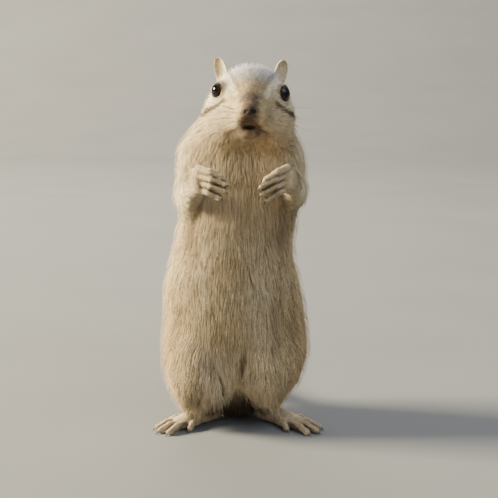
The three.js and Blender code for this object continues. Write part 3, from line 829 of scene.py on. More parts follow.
# %% Markings of the head
def mark_head(m, points, share):
    """Grey crown, brown bridge and muzzle, pale cheeks and throat, face lines; painted shade at mouth, chin,
    nostrils.
    """
    q = points - SKULL
    side, ahead, up = np.abs(q @ HEAD_SIDE), q @ HEAD_AHEAD, q @ HEAD_UP
    head = share["head"] + share["neck"] * smooth(-12, -4, up)
    soft_side = side + 0.5 * ripple(points, 22, 2.4)
    m["grey"] += head * smooth(3, 9, up) * (1 - 0.8 * smooth(8, 18, ahead))
    m["brown"] += head * smooth(3, 15, ahead) * fade(3.4, 6.4, side) * smooth(-2, 2, up) * 0.3
    # Brown on the muzzle's front from the nose to the mouth and round the mouth: partly the muzzle's own brown,
    # partly painted shade under the nose.
    m["brown"] += head * smooth(17, 22, ahead) * fade(1.0, 4.6, soft_side) * smooth(-10, -8.6, up)
    m["brown"] += head * smooth(12, 17, ahead) * fade(3, 6.5, soft_side) * fade(-9, -6.5, up) * 0.45
    m["belly"] = np.maximum(m["belly"], share["head"] * fade(-9.5, -5, up))
    cheek = share["head"] * smooth(6, 10, side) * fade(-3, 4, up)
    m["belly"] = np.maximum(m["belly"], 0.7 * cheek)
    m["pale"] += 0.12 * cheek
    mottle = smooth(0.1, 0.9, ripple(points, 41, 4.5)) * fade(5, 11, up) * smooth(-6, -1, up)
    m["brown"] += 0.2 * share["head"] * mottle
    # Painted shade on the chin, darkening the bump where it catches the light.
    m["brown"] += 0.2 * head * smooth(14, 18, ahead) * fade(2, 5, side) * fade(-11, -9, up)
    nose = np.linalg.norm((points - NOSE) / [2.3, 2.1, 1.65], axis=1)
    near = share["head"] > 0.02
    here, part_of_head = points[near], share["head"][near]

    def at_least(mark, values, where=slice(None)):
        m[mark][where] = np.maximum(m[mark][where], values)

    for mark, strength, width, line in LINES:
        off = beside(here, line) + 0.25 * ripple(here, 21, 3)
        at_least(mark, part_of_head * strength * fade(width * 0.4, width * 1.3, off), near)
    at_least("bare", fade(0.85, 1.15, nose))
    at_least("brown", fade(0.9, 2.1, nose))
    # Painted shade in the nostril openings.
    for line in NOSTRIL_LINES:
        at_least("dark", fade(0.5, 0.8, beside(points, line)))
    # Painted shade: dark in the groove of the mouth, and brown just below it, under the lips.
    for line in MOUTH_LINES:
        at_least("dark", 0.9 * (fade(0.2, 0.9, beside(here, line)) * smooth(-14, -9.5, up[near])), near)
        m["brown"][near] += 0.45 * part_of_head * fade(0.6, 2.6, beside(here - 0.9 * DOWN, line))
    # Painted shade inside the open mouth.
    throat = np.linalg.norm((here - THROAT) / [3.0, 3.6, 1.25], axis=1)
    at_least("dark", fade(0.9, 1.25, throat), near)
    for eye in EYES.values():
        rim = np.linalg.norm(here - eye["middle"], axis=1)
        at_least("pale", 0.6 * smooth(3.7, 4.1, rim) * fade(4.8, 8, rim), near)
        at_least("dark", 0.8 * fade(3.45, 3.8, rim), near)


# %% All markings
def markings(points, shares):
    """How much of each marking every point has, from 0 to 1, as an array (N, marks)."""
    m = {name: np.zeros(len(points)) for name in MARKS}
    share = {name: shares[:, i] for name, i in R.items()}
    for mark_part in (mark_body, mark_limbs, mark_head):
        mark_part(m, points, share)
    for name in ("pale", "grey", "belly"):
        m[name] *= 1 - np.clip(m["dark"], 0, 1)
    return np.clip(np.stack([m[name] for name in MARKS], 1), 0, 1)


skin_marks = markings(all_points, shares)
print("mean of each marking:", dict(zip(MARKS, skin_marks.mean(0).round(3).tolist())))

# %% [markdown]
# ## The lie of the coat
#
# Hair lies down over the body, back from the nose over the head, along the arms to the paws, and along the
# feet to the toes. That is a direction for every region, which is then laid flat on the skin. A gentle noise
# turns it by a few degrees, so that no stretch of the coat is combed perfectly.

# %% Lie, length and depth
LONG, DENSE, THICK, STAND = range(4)  # the first columns of COAT
# Hair length, tufts per square millimetre, half width of a tuft, how high its tip stands, and how it clumps.
COAT = {
    "trunk": (8.0, 5.2, 0.1, 2.9, 0.26), "neck": (7.0, 5.6, 0.1, 2.6, 0.24),
    "haunch": (8.4, 5.2, 0.104, 3.0, 0.34), "shin": (4.4, 6.6, 0.1, 1.3, 0.26),
    "foot": (1.8, 10.5, 0.075, 0.3, 0.1), "arm": (5.6, 6.2, 0.105, 2.1, 0.28),
    "forearm": (4.6, 8.5, 0.1, 1.15, 0.28), "hand": (1.9, 11.5, 0.08, 0.4, 0.12),
    "head": (3.0, 9.4, 0.092, 1.3, 0.2), "tail": (11.0, 5.6, 0.125, 2.0, 0.3),
    "ear": (0.8, 10.0, 0.06, 0.16, 0.1),
}
# On the head, places ahead of the skull's middle, with the length and the stand of the hair there.
HEAD_LENGTH = [[-12, 6.0], [-6, 5.0], [0, 4.2], [8, 3.2], [14, 2.1], [20, 1.3], [26, 0.8]]
HEAD_STAND = [[-12, 2.1], [-6, 2.2], [0, 2.2], [8, 1.6], [14, 0.85], [20, 0.42], [26, 0.18]]


def lie_of(points, normals, shares):
    """The unit direction in which hair lies at each point, flat on the skin."""
    lie = {name: np.tile(DOWN, (len(points), 1)) for name in REGIONS}
    x, _, z = points.T
    lie["haunch"] = unit(np.stack([0.1 * np.sign(x - MIDDLE), 0.22 + 0 * x, -1 + 0 * x], 1))
    lie["trunk"] = unit(np.stack([-0.004 * (x - MIDDLE), 0.05 + 0 * x, -1 + 0 * x], 1))
    for name, s in SIDES.items():
        mine = (x - 2) * s > 0
        joint = {k: np.asarray(v, float) for k, v in ARMS[name].items() if k != "slope"}
        lie["arm"][mine] = unit(joint["elbow"] - joint["shoulder"])
        lie["forearm"][mine] = unit(joint["wrist"] - joint["elbow"] + [0, 0, -24])
        lie["hand"][mine] = unit([-s * 0.9, -0.7, -0.35])
        lie["foot"][mine] = foot_ahead(s)
    back = unit(points - on_head(0, 27, -3))  # away from the tip of the nose
    fall = smooth(-2, -12, (points - SKULL) @ HEAD_AHEAD)[:, None]
    lie["head"] = unit(back * (1 - 0.75 * fall) + DOWN * 0.75 * fall)
    lie["neck"] = unit(DOWN + 0.5 * back * smooth(112, 130, z)[:, None])
    lie["tail"] = np.tile([0.0, 1, 0], (len(points), 1))
    lie["ear"] = np.tile([0.0, 0.2, 1], (len(points), 1))
    total = sum(lie[name] * shares[:, [i]] for name, i in R.items())
    total += 0.16 * np.stack([ripple(points, 10 + i, 11) for i in range(3)], 1)
    flat = total - normals * (total * normals).sum(1, keepdims=True)
    return unit(flat)


def coat_of(points, shares):
    """The five coat values at each point: the mean of the regions', with the head's own run from nape to nose."""
    values = shares @ np.array([COAT[name] for name in REGIONS])
    ahead = (points - SKULL) @ HEAD_AHEAD
    head = shares[:, R["head"]]
    values[:, LONG] += head * (np.interp(ahead, *np.transpose(HEAD_LENGTH)) - COAT["head"][LONG])
    values[:, STAND] += head * (np.interp(ahead, *np.transpose(HEAD_STAND)) - COAT["head"][STAND])
    values[:, DENSE] += head * 4.0 * smooth(6, 20, ahead)
    values[:, THICK] -= head * 0.03 * smooth(6, 20, ahead)
    for line in CREASE_LINES + MOUTH_LINES:  # the coat parts along the creases and the mouth
        near = fade(0.4, 2.2, beside(points, line))
        values[:, STAND] *= 1 - 0.8 * near
        values[:, LONG] *= 1 - 0.4 * near
    for arm in ARMS.values():  # longer hair on the wrist and the back of the hand
        near = fade(3.5, 9, np.linalg.norm(points - np.array(arm["wrist"]), axis=1)) * shares[:, R["hand"]]
        values[:, LONG] += 2.0 * near
        values[:, DENSE] -= 2.5 * near
        values[:, STAND] += 0.6 * near
    for eye in EYES.values():  # short hair on the lids
        near = fade(3.5, 7.5, np.linalg.norm(points - eye["middle"], axis=1))
        values[:, LONG] *= 1 - 0.65 * near
        values[:, STAND] *= 1 - 0.8 * near
        values[:, THICK] *= 1 - 0.3 * near
    return values


lie = lie_of(all_points, all_normals, shares)
coat = coat_of(all_points, shares)
print("coat on the whole skin, mean:",
      dict(zip(("long", "dense", "thick", "stand"), coat.mean(0).round(2).tolist())))

# %% [markdown]
# ## Sowing the tufts
#
# Roots are sown over the skin's triangles at random, each triangle getting its area times the density,
# rounded up or down by chance. Nothing grows on the rims of the lids, the nose, the lips, in the mouth or on
# the soles. Each root takes its lie, length and markings from the corners of its triangle.

# %% Roots
rng = np.random.default_rng(7)
triangles = np.concatenate([all_quads[:, [0, 1, 2]], all_quads[:, [0, 2, 3]]])
corner = all_points[triangles]
normal_times_area = np.cross(corner[:, 1] - corner[:, 0], corner[:, 2] - corner[:, 0])
area = np.linalg.norm(normal_times_area, axis=1) / 2
middle = corner.mean(1)
bare = (middle[:, 2] < 0.4) & (normal_times_area[:, 2] < 0)  # the soles
bare |= np.linalg.norm((middle - NOSE) / [2.05, 1.9, 1.45], axis=1) < 1
bare |= np.linalg.norm((middle - THROAT) / THROAT_RADII, axis=1) < 0.98
for line in MOUTH_LINES:
    bare |= beside(middle, line) < 0.3
for eye in EYES.values():
    bare |= np.linalg.norm(middle - (eye["middle"] + eye["gaze"] * 2.7), axis=1) < 3.25
expected = np.where(bare, 0, area * coat[triangles, DENSE].mean(1))
per_triangle = np.floor(expected + rng.random(len(expected))).astype(int)
home = np.repeat(np.arange(len(triangles)), per_triangle)
a, b = rng.random((2, len(home)))
a, b = np.where(a + b > 1, 1 - a, a), np.where(a + b > 1, 1 - b, b)
weights = np.stack([1 - a - b, a, b], 1)


def at_roots(values):
    """Values of the skin's vertices at the roots, by the roots' places in their triangles."""
    return (values[triangles[home]] * weights[:, :, None]).sum(1)


root = at_roots(all_points)
root_normal = unit(at_roots(all_normals))
root_shares = at_roots(shares)
root_coat = at_roots(coat)
root_lie = at_roots(lie)
root_lie = unit(root_lie - root_normal * (root_lie * root_normal).sum(1, keepdims=True))
root_marks = markings(root, root_shares)
region = root_shares.argmax(1)
print("tufts:", len(root), dict(zip(REGIONS, np.bincount(region, minlength=11).tolist())))

# %% [markdown]
# ## From a root to a tuft
#
# A tuft leaves the skin at its root, rises to its middle and lies down again towards its tip, a little above
# the skin. Where the middle and the tip would be too high or too low over the skin, they are moved along the
# slope of the distance field, so that the coat follows every fold. Neighbouring tufts lean together into
# locks: each tip is drawn towards the tip of the nearest of a few seed tufts.

# %% Curves of the tufts
# A few thin hairs stand out of the coat.
GUARD = {"share": 0.08, "height": 1.55, "length": 1.15, "width": 0.6}
LOCK = {"seeds": 0.055, "reach": 5}  # the share of tufts that others lean to, and from how far
count = len(root)
length, _, half_width, stand, clump = root_coat.T
length = length * rng.uniform(0.72, 1.12, count)
half_width = half_width * rng.uniform(0.8, 1.25, count)
height = stand * rng.uniform(0.35, 1.0, count) ** 0.8
guard = (rng.random(count) < GUARD["share"]) & (stand > 0.6)
height = np.where(guard, GUARD["height"] * stand, height)
length = np.where(guard, GUARD["length"] * length, length)
half_width = np.where(guard, GUARD["width"] * half_width, half_width)
lean = 0.1 * rng.normal(size=(count, 3))
way = unit(root_lie + lean - root_normal * (lean * root_normal).sum(1, keepdims=True))
mid = root + way * (0.45 * length)[:, None] + root_normal * (0.62 * height)[:, None]
tip = root + way * length[:, None] + root_normal * height[:, None]


def stand_off(points, wanted):
    """Moves points along the field's slope until they are the wanted height over the skin."""
    far, slope = slope_at(points, 0.15)
    return points + np.clip(step_to_skin(far - wanted, slope, 0.3), -3, 3)


# %% Locks
body_hair = (region != R["tail"]) & (region != R["ear"])
seed = np.flatnonzero(body_hair & (rng.random(count) < LOCK["seeds"]))
tree = KDTree(len(seed))
for i, place in enumerate(root[seed]):
    tree.insert(place, i)
tree.balance()
nearest = seed[[tree.find(place)[1] for place in root]]
pull = np.where(body_hair, clump, 0)[:, None] * smooth(1.2, 2.6, length)[:, None]
pull = pull * (np.linalg.norm(root - root[nearest], axis=1) < LOCK["reach"])[:, None]
tip += pull * (tip[nearest] - tip)
mid += 0.4 * pull * (mid[nearest] - mid)
mid[body_hair] = stand_off(mid[body_hair], 0.75 * height[body_hair])
tip[body_hair] = stand_off(tip[body_hair], height[body_hair])
print("locks:", len(seed))

# %% [markdown]
# The tail's hair fans out sideways from the core, flat above the ground, and its tips reach the tail's
# outline. The hairs end at different places, which makes a soft tip. Under the seat the hair hangs down to
# the ground.

# %% The tail's hair
# Shares of the tail's length, and how far its hair reaches sideways and up there.
TAIL_REACH = [[0, 5.6, 6.4], [0.09, 6.4, 6.6], [0.2, 7.8, 6.2], [0.34, 10.1, 5.6], [0.52, 11.5, 5.6],
              [0.68, 11.5, 5.5], [0.82, 9.6, 4.8], [0.92, 6.2, 3.6], [1, 1.8, 1.3]]
on_tail = region == R["tail"]
start = root[on_tail]
x, z = tail_middle(start[:, 1])
out = unit(np.stack([start[:, 0] - x, 0 * x, start[:, 2] - z], 1))
grow = length[on_tail] * rng.uniform(0.85, 1.15, on_tail.sum())
spread = rng.uniform(0.45, 1, on_tail.sum()) ** 0.7
last = TAIL["end"] + 1.5 - 9 * rng.random(on_tail.sum()) ** 1.6


def tail_place(share_out, share_along):
    """Where a hair of the tail has got to: along the tail, and a share of the way out to its outline."""
    y = np.minimum(start[:, 1] + grow * share_along, np.maximum(last, start[:, 1] + 1.5 * share_along))
    share = np.clip((y - TAIL["base"]) / (TAIL["end"] - TAIL["base"]), 0, 1)
    wide, high = stations(TAIL_REACH, share)
    x, z = tail_middle(y)
    up = np.where(out[:, 2] > 0, high, 0.8 * high)
    place = np.stack([x + out[:, 0] * wide * share_out, y, z + out[:, 2] * up * share_out], 1)
    place[:, 2] = np.maximum(place[:, 2], 0.25)
    return place


mid[on_tail] = (tail_place(0.62 * spread, 0.45) + start + out * 1.2) / 2 + [0, 1.4, 0]
tip[on_tail] = tail_place(0.96 * spread, 0.92)
seat = (region == R["trunk"]) & (root[:, 2] < 11) & (root_normal[:, 2] < -0.2)
mid[seat, 2] -= 1.2
tip[seat, 2] -= 3.2
mid[:, 2] = np.maximum(mid[:, 2], 0.2)
tip[:, 2] = np.maximum(tip[:, 2], 0.15)
print("hair length in mm, mean:", round(float(np.linalg.norm(tip - root, axis=1).mean()), 2))

# %% [markdown]
# Each tuft is a closed spike with three sides: three corners at the root, three in the middle and one at the
# tip, ten triangles in all. Its shading normals lean towards the skin's, as light on a pelt comes from the
# whole coat rather than from each hair.

# %% Meshes of the coat
# Vertices 0 to 2 are the root's corners, 3 to 5 the middle's, and 6 is the tip.
SPIKE = np.array([[0, 4, 1], [0, 3, 4], [1, 5, 2], [1, 4, 5], [2, 3, 0], [2, 5, 3],
                  [3, 6, 4], [4, 6, 5], [5, 6, 3], [0, 1, 2]])
SECTION = [(-1, -0.3), (1, -0.3), (0, 0.75)]
GOLDEN = 0.6180339887  # multiples of it, less their whole parts, are spread evenly from 0 to 1
PATCH = 0.003  # the size of a tuft's own place on the map for baking


def spikes(root, mid, tip, normal, half):
    """Vertices (N, 7, 3) and shading normals of the tufts."""
    way = unit(tip - root)
    side = unit(np.cross(way, normal))
    over = np.cross(side, way)
    points, normals = [], []
    for place, width in ((root - 0.25 * normal, 0.8), (mid, 1.0)):
        for a, b in SECTION:
            offset = side * a + over * b
            points.append(place + offset * (half * width)[:, None])
            normals.append(unit(offset * 0.55 + normal))
    points.append(tip)
    normals.append(unit(normal + 0.25 * way))
    return np.stack(points, 1), np.stack(normals, 1)


LIMB_OFFSET = {"arm": (18, 12), "paw": (18, 14), "leg": (15, 3)}  # of a limb's middle: outwards and ahead


def unwrap(points, kind):
    """Two coordinates on the skin's own shape: the angle round the middle of a part, and the place along it."""
    x, y, z = points.T
    if kind == "tail":
        x0, z0 = tail_middle(y)
        return np.arctan2(x - x0, z - z0), y
    if kind == "head":
        q = points - SKULL
        return np.arctan2(q @ HEAD_SIDE, -(q @ HEAD_UP) - 2), q @ HEAD_AHEAD
    x0, y0 = (np.interp(z, [20, 58, 98, 133], v) for v in ([-1.6, -2, 0.9, 4.5], [6, 1, -2, -6.5]))
    if kind in LIMB_OFFSET:
        s = np.sign(x - x0)
        out, ahead = LIMB_OFFSET[kind]
        return np.arctan2(x - x0 - s * out, y0 - ahead - y) + s * 3.3, z
    return np.arctan2(x - x0, y - y0), z


def linked(name, mesh):
    """A mesh as a smooth object in the scene. Every piece rides on the one body."""
    mesh.polygons.foreach_set("use_smooth", np.full(len(mesh.polygons), True))
    piece = bpy.data.objects.new(name, mesh)
    bpy.context.scene.collection.objects.link(piece)
    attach(piece, "root")
    return piece


def triangle_mesh(name, points, faces):
    """A mesh from arrays: points in millimetres on the body's axes, and triangles."""
    mesh = bpy.data.meshes.new(name)
    mesh.vertices.add(len(points))
    mesh.vertices.foreach_set("co", in_frame(points).astype(np.float32).ravel())
    mesh.loops.add(faces.size)
    mesh.loops.foreach_set("vertex_index", faces.astype(np.int32).ravel())
    mesh.polygons.add(len(faces))
    mesh.polygons.foreach_set("loop_start", np.arange(0, faces.size, 3, dtype=np.int32))
    mesh.update(calc_edges=True)
    return mesh


# %% Attributes and the pieces of the coat
def set_attribute(mesh, name, values):
    """A value or a vector for every vertex, for the materials to read."""
    kind, field = ("FLOAT_VECTOR", "vector") if values.ndim == 2 else ("FLOAT", "value")
    layer = mesh.attributes.new(name, kind, "POINT")
    layer.data.foreach_set(field, values.astype(np.float32).ravel())


def set_marks(mesh, marks):
    """The eight markings as three vectors, the last of them with a zero."""
    marks = np.c_[marks, np.zeros(len(marks))]
    for i, letter in enumerate("abc"):
        set_attribute(mesh, f"marks_{letter}", marks[:, 3 * i:3 * i + 3])


def coat_piece(name, chosen, kind):
    """One piece of the coat from the chosen tufts."""
    points, normals = spikes(root[chosen], mid[chosen], tip[chosen], root_normal[chosen], half_width[chosen])
    n = len(points)
    faces = (SPIKE[None] + 7 * np.arange(n)[:, None, None]).reshape(-1, 3)
    mesh = triangle_mesh(name, points.reshape(-1, 3), faces)
    piece = linked(name, mesh)
    along = np.tile([0, 0, 0, 0.5, 0.5, 0.5, 1], n)
    shade = np.repeat(rng.random(n), 7)
    lock = np.repeat((nearest[chosen] * GOLDEN) % 1, 7)
    set_attribute(mesh, "tuft", np.stack([along, shade, lock], 1))
    set_marks(mesh, np.repeat(root_marks[chosen], 7, 0))
    u, v = unwrap(root[chosen], kind)
    u, v = ((w - w.min()) / (w.max() - w.min() + 1e-9) * (1 - 3 * PATCH) + PATCH for w in (u, v))
    corner_u = np.tile([0, 1, 0.5, 0, 1, 0.5, 0.5], n) * PATCH
    corner_v = np.tile([0, 0, 0, 0.5, 0.5, 0.5, 1], n) * PATCH
    uv = np.stack([np.repeat(u, 7) + corner_u, np.repeat(v, 7) + corner_v], 1)
    layer = mesh.uv_layers.new(name="OFBake")  # each tuft has its own small patch, at its root's place
    layer.data.foreach_set("uv", uv[faces.ravel()].astype(np.float32).ravel())
    mesh.normals_split_custom_set_from_vertices(normals.reshape(-1, 3))
    return piece


MOST_TUFTS = 19000  # ten triangles each, so that a piece stays under 200,000
GROUPS = {
    "head": ("head", ("head", "ear")), "neck": ("body", ("neck",)), "trunk": ("body", ("trunk",)),
    "haunch": ("leg", ("haunch", "shin")), "arm": ("arm", ("arm", "forearm")), "hand": ("paw", ("hand",)),
    "foot": ("paw", ("foot",)), "tail": ("tail", ("tail",)),
}
coat_pieces = {}
for part_name, (kind, members) in GROUPS.items():
    chosen = np.flatnonzero(np.isin(region, [R[m] for m in members]))
    chosen = chosen[np.argsort(unwrap(root[chosen], kind)[0])]
    parts = np.array_split(chosen, math.ceil(len(chosen) / MOST_TUFTS))
    for i, share in enumerate(parts):
        name = f"coat_{part_name}" + (f"_{i + 1}" if len(parts) > 1 else "")
        coat_pieces[name] = coat_piece(name, share, kind)
print("coat pieces:", {name: len(piece.data.polygons) for name, piece in coat_pieces.items()})

# %% [markdown]
# ## The skin's mesh
#
# The skin is one mesh that takes the place of all the flesh of the frame. It carries the same attributes as
# the tufts. As it has no hairs of its own, noise stands in for the differences from hair to hair and lock to
# lock.

# %% Skin
def add_piece(name, points, faces):
    """A smooth piece from points in millimetres and a list of faces."""
    mesh = bpy.data.meshes.new(name)
    mesh.from_pydata(in_frame(points).tolist(), [], faces)
    piece = linked(name, mesh)
    return piece


skin = add_piece("skin", all_points, all_quads.tolist() + [ring.tolist() for ring in caps])
set_marks(skin.data, skin_marks)
set_attribute(skin.data, "tuft", np.c_[np.full(len(all_points), 0.3), 0.5 + 0.3 * ripple(all_points, 5, 2.2),
                                       0.5 + 0.3 * ripple(all_points, 6, 5)])
flesh = [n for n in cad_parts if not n.startswith("eye_")]
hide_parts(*flesh)
print("skin replaces", len(flesh), "nodes")

# %% [markdown]
# ## Eyes and lids
#
# A chipmunk's eye is a large, almost black ball, set sideways, with the clear bulge of the cornea on its
# front. The ball is worked out round its gaze: rings of points from the front pole to the back, and the
# cornea as a low bell added to the radius. The lids are a thin dark roll that follows the almond of the
# opening.

# %% Eyes
def dome(centre, axis, across, radius_at, rings=40, around=56):
    """A closed ball: the point at angle p from the axis and angle a round it is the centre plus radius_at(p)
    along that direction. Returns points and faces, with a fan of triangles at each pole."""
    up = np.cross(axis, across)
    p = np.linspace(0, math.pi, rings + 1)[1:-1, None, None]
    a = np.linspace(0, 2 * math.pi, around, endpoint=False)[None, :, None]
    way = np.cos(p) * axis + (np.sin(p) * np.cos(a)) * across + (np.sin(p) * np.sin(a)) * up
    body = (centre + way * radius_at(p)).reshape(-1, 3)
    poles = [centre + axis * radius_at(0.0), centre - axis * radius_at(math.pi)]
    rows = rings - 1
    faces = ring_faces(rows, around)[:, ::-1].tolist()
    last = (rows - 1) * around
    for i in range(around):
        j = (i + 1) % around
        faces += [(rows * around, i, j), (rows * around + 1, last + j, last + i)]
    return np.vstack([body, poles]), faces


def cornea(p):
    """The eyeball's radius at angle p from the gaze: a ball with a low bell on its front."""
    return EYE_BALL + 0.14 * np.exp(-((p / 0.55) ** 2))


eye_pieces, lid_pieces = [], []
for name, eye in EYES.items():
    points, faces = dome(eye["middle"], eye["gaze"], eye["corner"], cornea)
    piece = add_piece(f"eyeball_{name}", points, faces)
    off_gaze = np.arccos(np.clip(unit(points - eye["middle"]) @ eye["gaze"], -1, 1))
    set_attribute(piece.data, "off_gaze", off_gaze)
    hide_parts(f"eye_{name}")
    eye_pieces.append(piece)


# %% Lids
# Half angles of the opening, half sizes of the roll.
LID = {"wide": 1.02, "high": 0.93, "flat": 0.2, "thick": 0.17}


def lid_roll(eye, around=96, section=12):
    """A thin roll round the almond of the opening: its middle line runs over the ball at angle a, at half angles
    wide and high from the gaze, drawn out at both corners."""
    a = np.linspace(0, 2 * math.pi, around, endpoint=False)

    def corner(angle, width):
        return np.exp(-((np.angle(np.exp(1j * (a - angle))) / width) ** 2))

    drawn = 1 + 0.16 * corner(0, 0.42) + 0.07 * corner(math.pi, 0.4)
    across, over = np.cos(a) * (LID["wide"] * drawn), np.sin(a) * LID["high"]
    off = np.hypot(across, over)
    way = np.cos(off)[:, None] * eye["gaze"] + (np.sin(off) / off)[:, None] * (
        across[:, None] * eye["corner"] + over[:, None] * eye["lid"])
    line = eye["middle"] + way * (EYE_BALL + 0.04)
    along = unit(np.roll(line, -1, 0) - np.roll(line, 1, 0))
    flat = unit(np.cross(along, way))
    v = np.linspace(0, 2 * math.pi, section, endpoint=False)[None, :, None]
    return (line[:, None] + flat[:, None] * (LID["flat"] * np.cos(v))
            + way[:, None] * (LID["thick"] * np.sin(v)))


for name, eye in EYES.items():
    grid = lid_roll(eye)
    rows, around = grid.shape[:2]
    faces = ring_faces(rows, around).tolist()
    last = (rows - 1) * around
    faces += [(last + i, last + (i + 1) % around, (i + 1) % around, i) for i in range(around)]
    lid_pieces.append(add_piece(f"lids_{name}", grid.reshape(-1, 3), faces))
print("eyes:", [p.name for p in eye_pieces + lid_pieces])

# %% [markdown]
# ## Claws and whiskers
#
# A claw is a cone that curves down, flattened from side to side; a whisker is a much thinner one that droops.
# One function sweeps a round section along a bent line, and each kind is joined into one mesh.

# %% Claws and whiskers
def sweep(line, radii, around, flatten=1.0):
    """A tapering tube along a line of points: a ring of the given radius at each, narrowed sideways by flatten."""
    along = unit(np.gradient(line, axis=0))
    side = unit(np.cross(along, Z_AXIS))
    over = np.cross(side, along)
    v = np.linspace(0, 2 * math.pi, around, endpoint=False)
    ring = side[:, None] * (np.cos(v) * flatten)[None, :, None] + over[:, None] * np.sin(v)[None, :, None]
    grid = line[:, None] + ring * np.asarray(radii)[:, None, None]
    rows = len(line)
    faces = [tuple(f) for f in ring_faces(rows, around).tolist()]
    faces.append(tuple(range(around))[::-1])
    faces.append(tuple((rows - 1) * around + i for i in range(around)))
    return grid.reshape(-1, 3), faces


def joined(name, tubes):
    """Several tubes as one piece."""
    points, faces, first = [], [], 0
    for p, f in tubes:
        points.append(p)
        faces += [tuple(first + i for i in face) for face in f]
        first += len(p)
    return add_piece(name, np.vstack(points), faces)


def claw(d):
    ahead = unit(d["tip"] - d["knuckle"])
    t = np.linspace(0, 1, 9)[:, None]
    base = d["tip"] - ahead * 0.5 + [0, 0, 0.18]
    line = (base + ahead * t * (d["claw_long"] + 0.3)
            + np.array([0, 0, 1]) * (0.35 * t * (1 - t) * 2 - d["claw_drop"] * t**2))
    line[:, 2] = np.maximum(line[:, 2], 0.18 + 0.25 * (1 - t[:, 0]))
    radii = 0.52 * (1 - t[:, 0] ** 1.6) + 0.07
    return sweep(line, radii, 10, 0.72)


claws = joined("claws", [claw(d) for d in DIGITS])
hair_rng = np.random.default_rng(11)
whisker_lines = []
for s in SIDES.values():
    for row in range(4):
        for place in range(4 if row < 3 else 3):
            base = on_skin([on_head(s * (3.6 + 0.45 * row), 23.2 - 1.5 * place, -3.2 - 1.15 * row)])[0]
            long = hair_rng.uniform(13, 20) * (0.75 + 0.12 * place)
            way = unit(s * 0.92 * HEAD_SIDE + (0.34 - 0.2 * place) * HEAD_AHEAD + (0.22 - 0.16 * row) * HEAD_UP
                       + 0.08 * hair_rng.normal(size=3))
            t = np.linspace(0, 1, 12)[:, None]
            line = base + way * long * t - HEAD_UP * (0.16 * long * t**2) - HEAD_AHEAD * (0.14 * long * t**2)
            whisker_lines.append(sweep(line, 0.055 * (1 - t[:, 0]) + 0.014, 5))
whiskers = joined("whiskers", whisker_lines)
print("claws:", len(DIGITS), "whiskers:", len(whisker_lines))

# %% [markdown]
# ## Materials
#
# One node group mixes the coat's colour from the markings, for skin and hair alike. Each hair is darker at
# its root, banded, and pale or dark at its tip, which gives the grizzled look of a wild coat. Whole locks are
# a little lighter or darker than their neighbours. The tail has a pattern of its own along each hair: rufous,
# then black, then a frosted tip.

# %% The coat's colour group
PALETTE = {
    "tawny": (0.42, 0.305, 0.155), "belly": (0.60, 0.455, 0.27), "rufous": (0.40, 0.24, 0.11),
    "grey": (0.46, 0.425, 0.405), "pale": (0.75, 0.64, 0.46), "dark": (0.05, 0.034, 0.022),
    "brown": (0.105, 0.062, 0.036), "bare": (0.42, 0.30, 0.225),
}
group = bpy.data.node_groups.new("coat_colour", "ShaderNodeTree")
for name, kind in [("Marks A", "NodeSocketVector"), ("Marks B", "NodeSocketVector"),
                   ("Marks C", "NodeSocketVector"),
                   ("Tuft", "NodeSocketVector"), ("Banding", "NodeSocketFloat")]:
    group.interface.new_socket(name, in_out="INPUT", socket_type=kind)
group.interface.new_socket("Color", in_out="OUTPUT", socket_type="NodeSocketColor")
group.interface.new_socket("Roughness", in_out="OUTPUT", socket_type="NodeSocketFloat")
group.interface.new_socket("Height", in_out="OUTPUT", socket_type="NodeSocketFloat")


def add_node(tree, kind, **settings):
    node = tree.nodes.new(kind)
    for key, value in settings.items():
        if key.startswith("in_"):
            node.inputs[key[3:]].default_value = value
        else:
            setattr(node, key, value)
    return node


def mix(tree, factor, a, b, blend="MIX"):
    """A colour mix: a, then b by the factor. Each is a socket or a plain value."""
    node = tree.nodes.new("ShaderNodeMix")
    node.data_type, node.blend_type = "RGBA", blend
    for socket, value in ((node.inputs[0], factor), (node.inputs[6], a), (node.inputs[7], b)):
        if isinstance(value, bpy.types.NodeSocket):
            tree.links.new(value, socket)
        else:
            socket.default_value = value if isinstance(value, float) else (*value, 1)
    return node.outputs[2]


def calculate(tree, operation, a, b=0.0, clamp=False):
    node = tree.nodes.new("ShaderNodeMath")
    node.operation, node.use_clamp = operation, clamp
    for socket, value in zip(node.inputs, (a, b)):
        if isinstance(value, bpy.types.NodeSocket):
            tree.links.new(value, socket)
        else:
            socket.default_value = value
    return node.outputs[0]


def ramp(tree, value, low, high):
    """0 at low, 1 at high, straight between, from a value."""
    node = tree.nodes.new("ShaderNodeMapRange")
    node.inputs["From Min"].default_value, node.inputs["From Max"].default_value = low, high
    tree.links.new(value, node.inputs["Value"])
    return node.outputs["Result"]


inputs = group.nodes.new("NodeGroupInput")
outputs = group.nodes.new("NodeGroupOutput")
masks = {}
for letter, names in (("A", MARKS[0:3]), ("B", MARKS[3:6]), ("C", MARKS[6:8])):
    split = group.nodes.new("ShaderNodeSeparateXYZ")
    group.links.new(inputs.outputs[f"Marks {letter}"], split.inputs[0])
    masks.update({name: split.outputs[i] for i, name in enumerate(names)})
split = group.nodes.new("ShaderNodeSeparateXYZ")
group.links.new(inputs.outputs["Tuft"], split.inputs[0])
along, shade, lock = split.outputs
colour = mix(group, masks["belly"], PALETTE["tawny"], PALETTE["belly"])
for name in ("rufous", "grey", "pale", "dark", "brown"):
    colour = mix(group, masks[name], colour, PALETTE[name])
# The tail's hairs: rufous below, black in the middle, frosted at the tip.
black_part = calculate(group, "MULTIPLY", ramp(group, along, 0.28, 0.5), ramp(group, along, 0.98, 0.72))
tail_colour = mix(group, black_part, (0.27, 0.14, 0.06), (0.035, 0.023, 0.016))
tail_colour = mix(group, ramp(group, along, 0.78, 1.0), tail_colour, (0.52, 0.42, 0.29))
colour = mix(group, masks["tail"], colour, tail_colour)
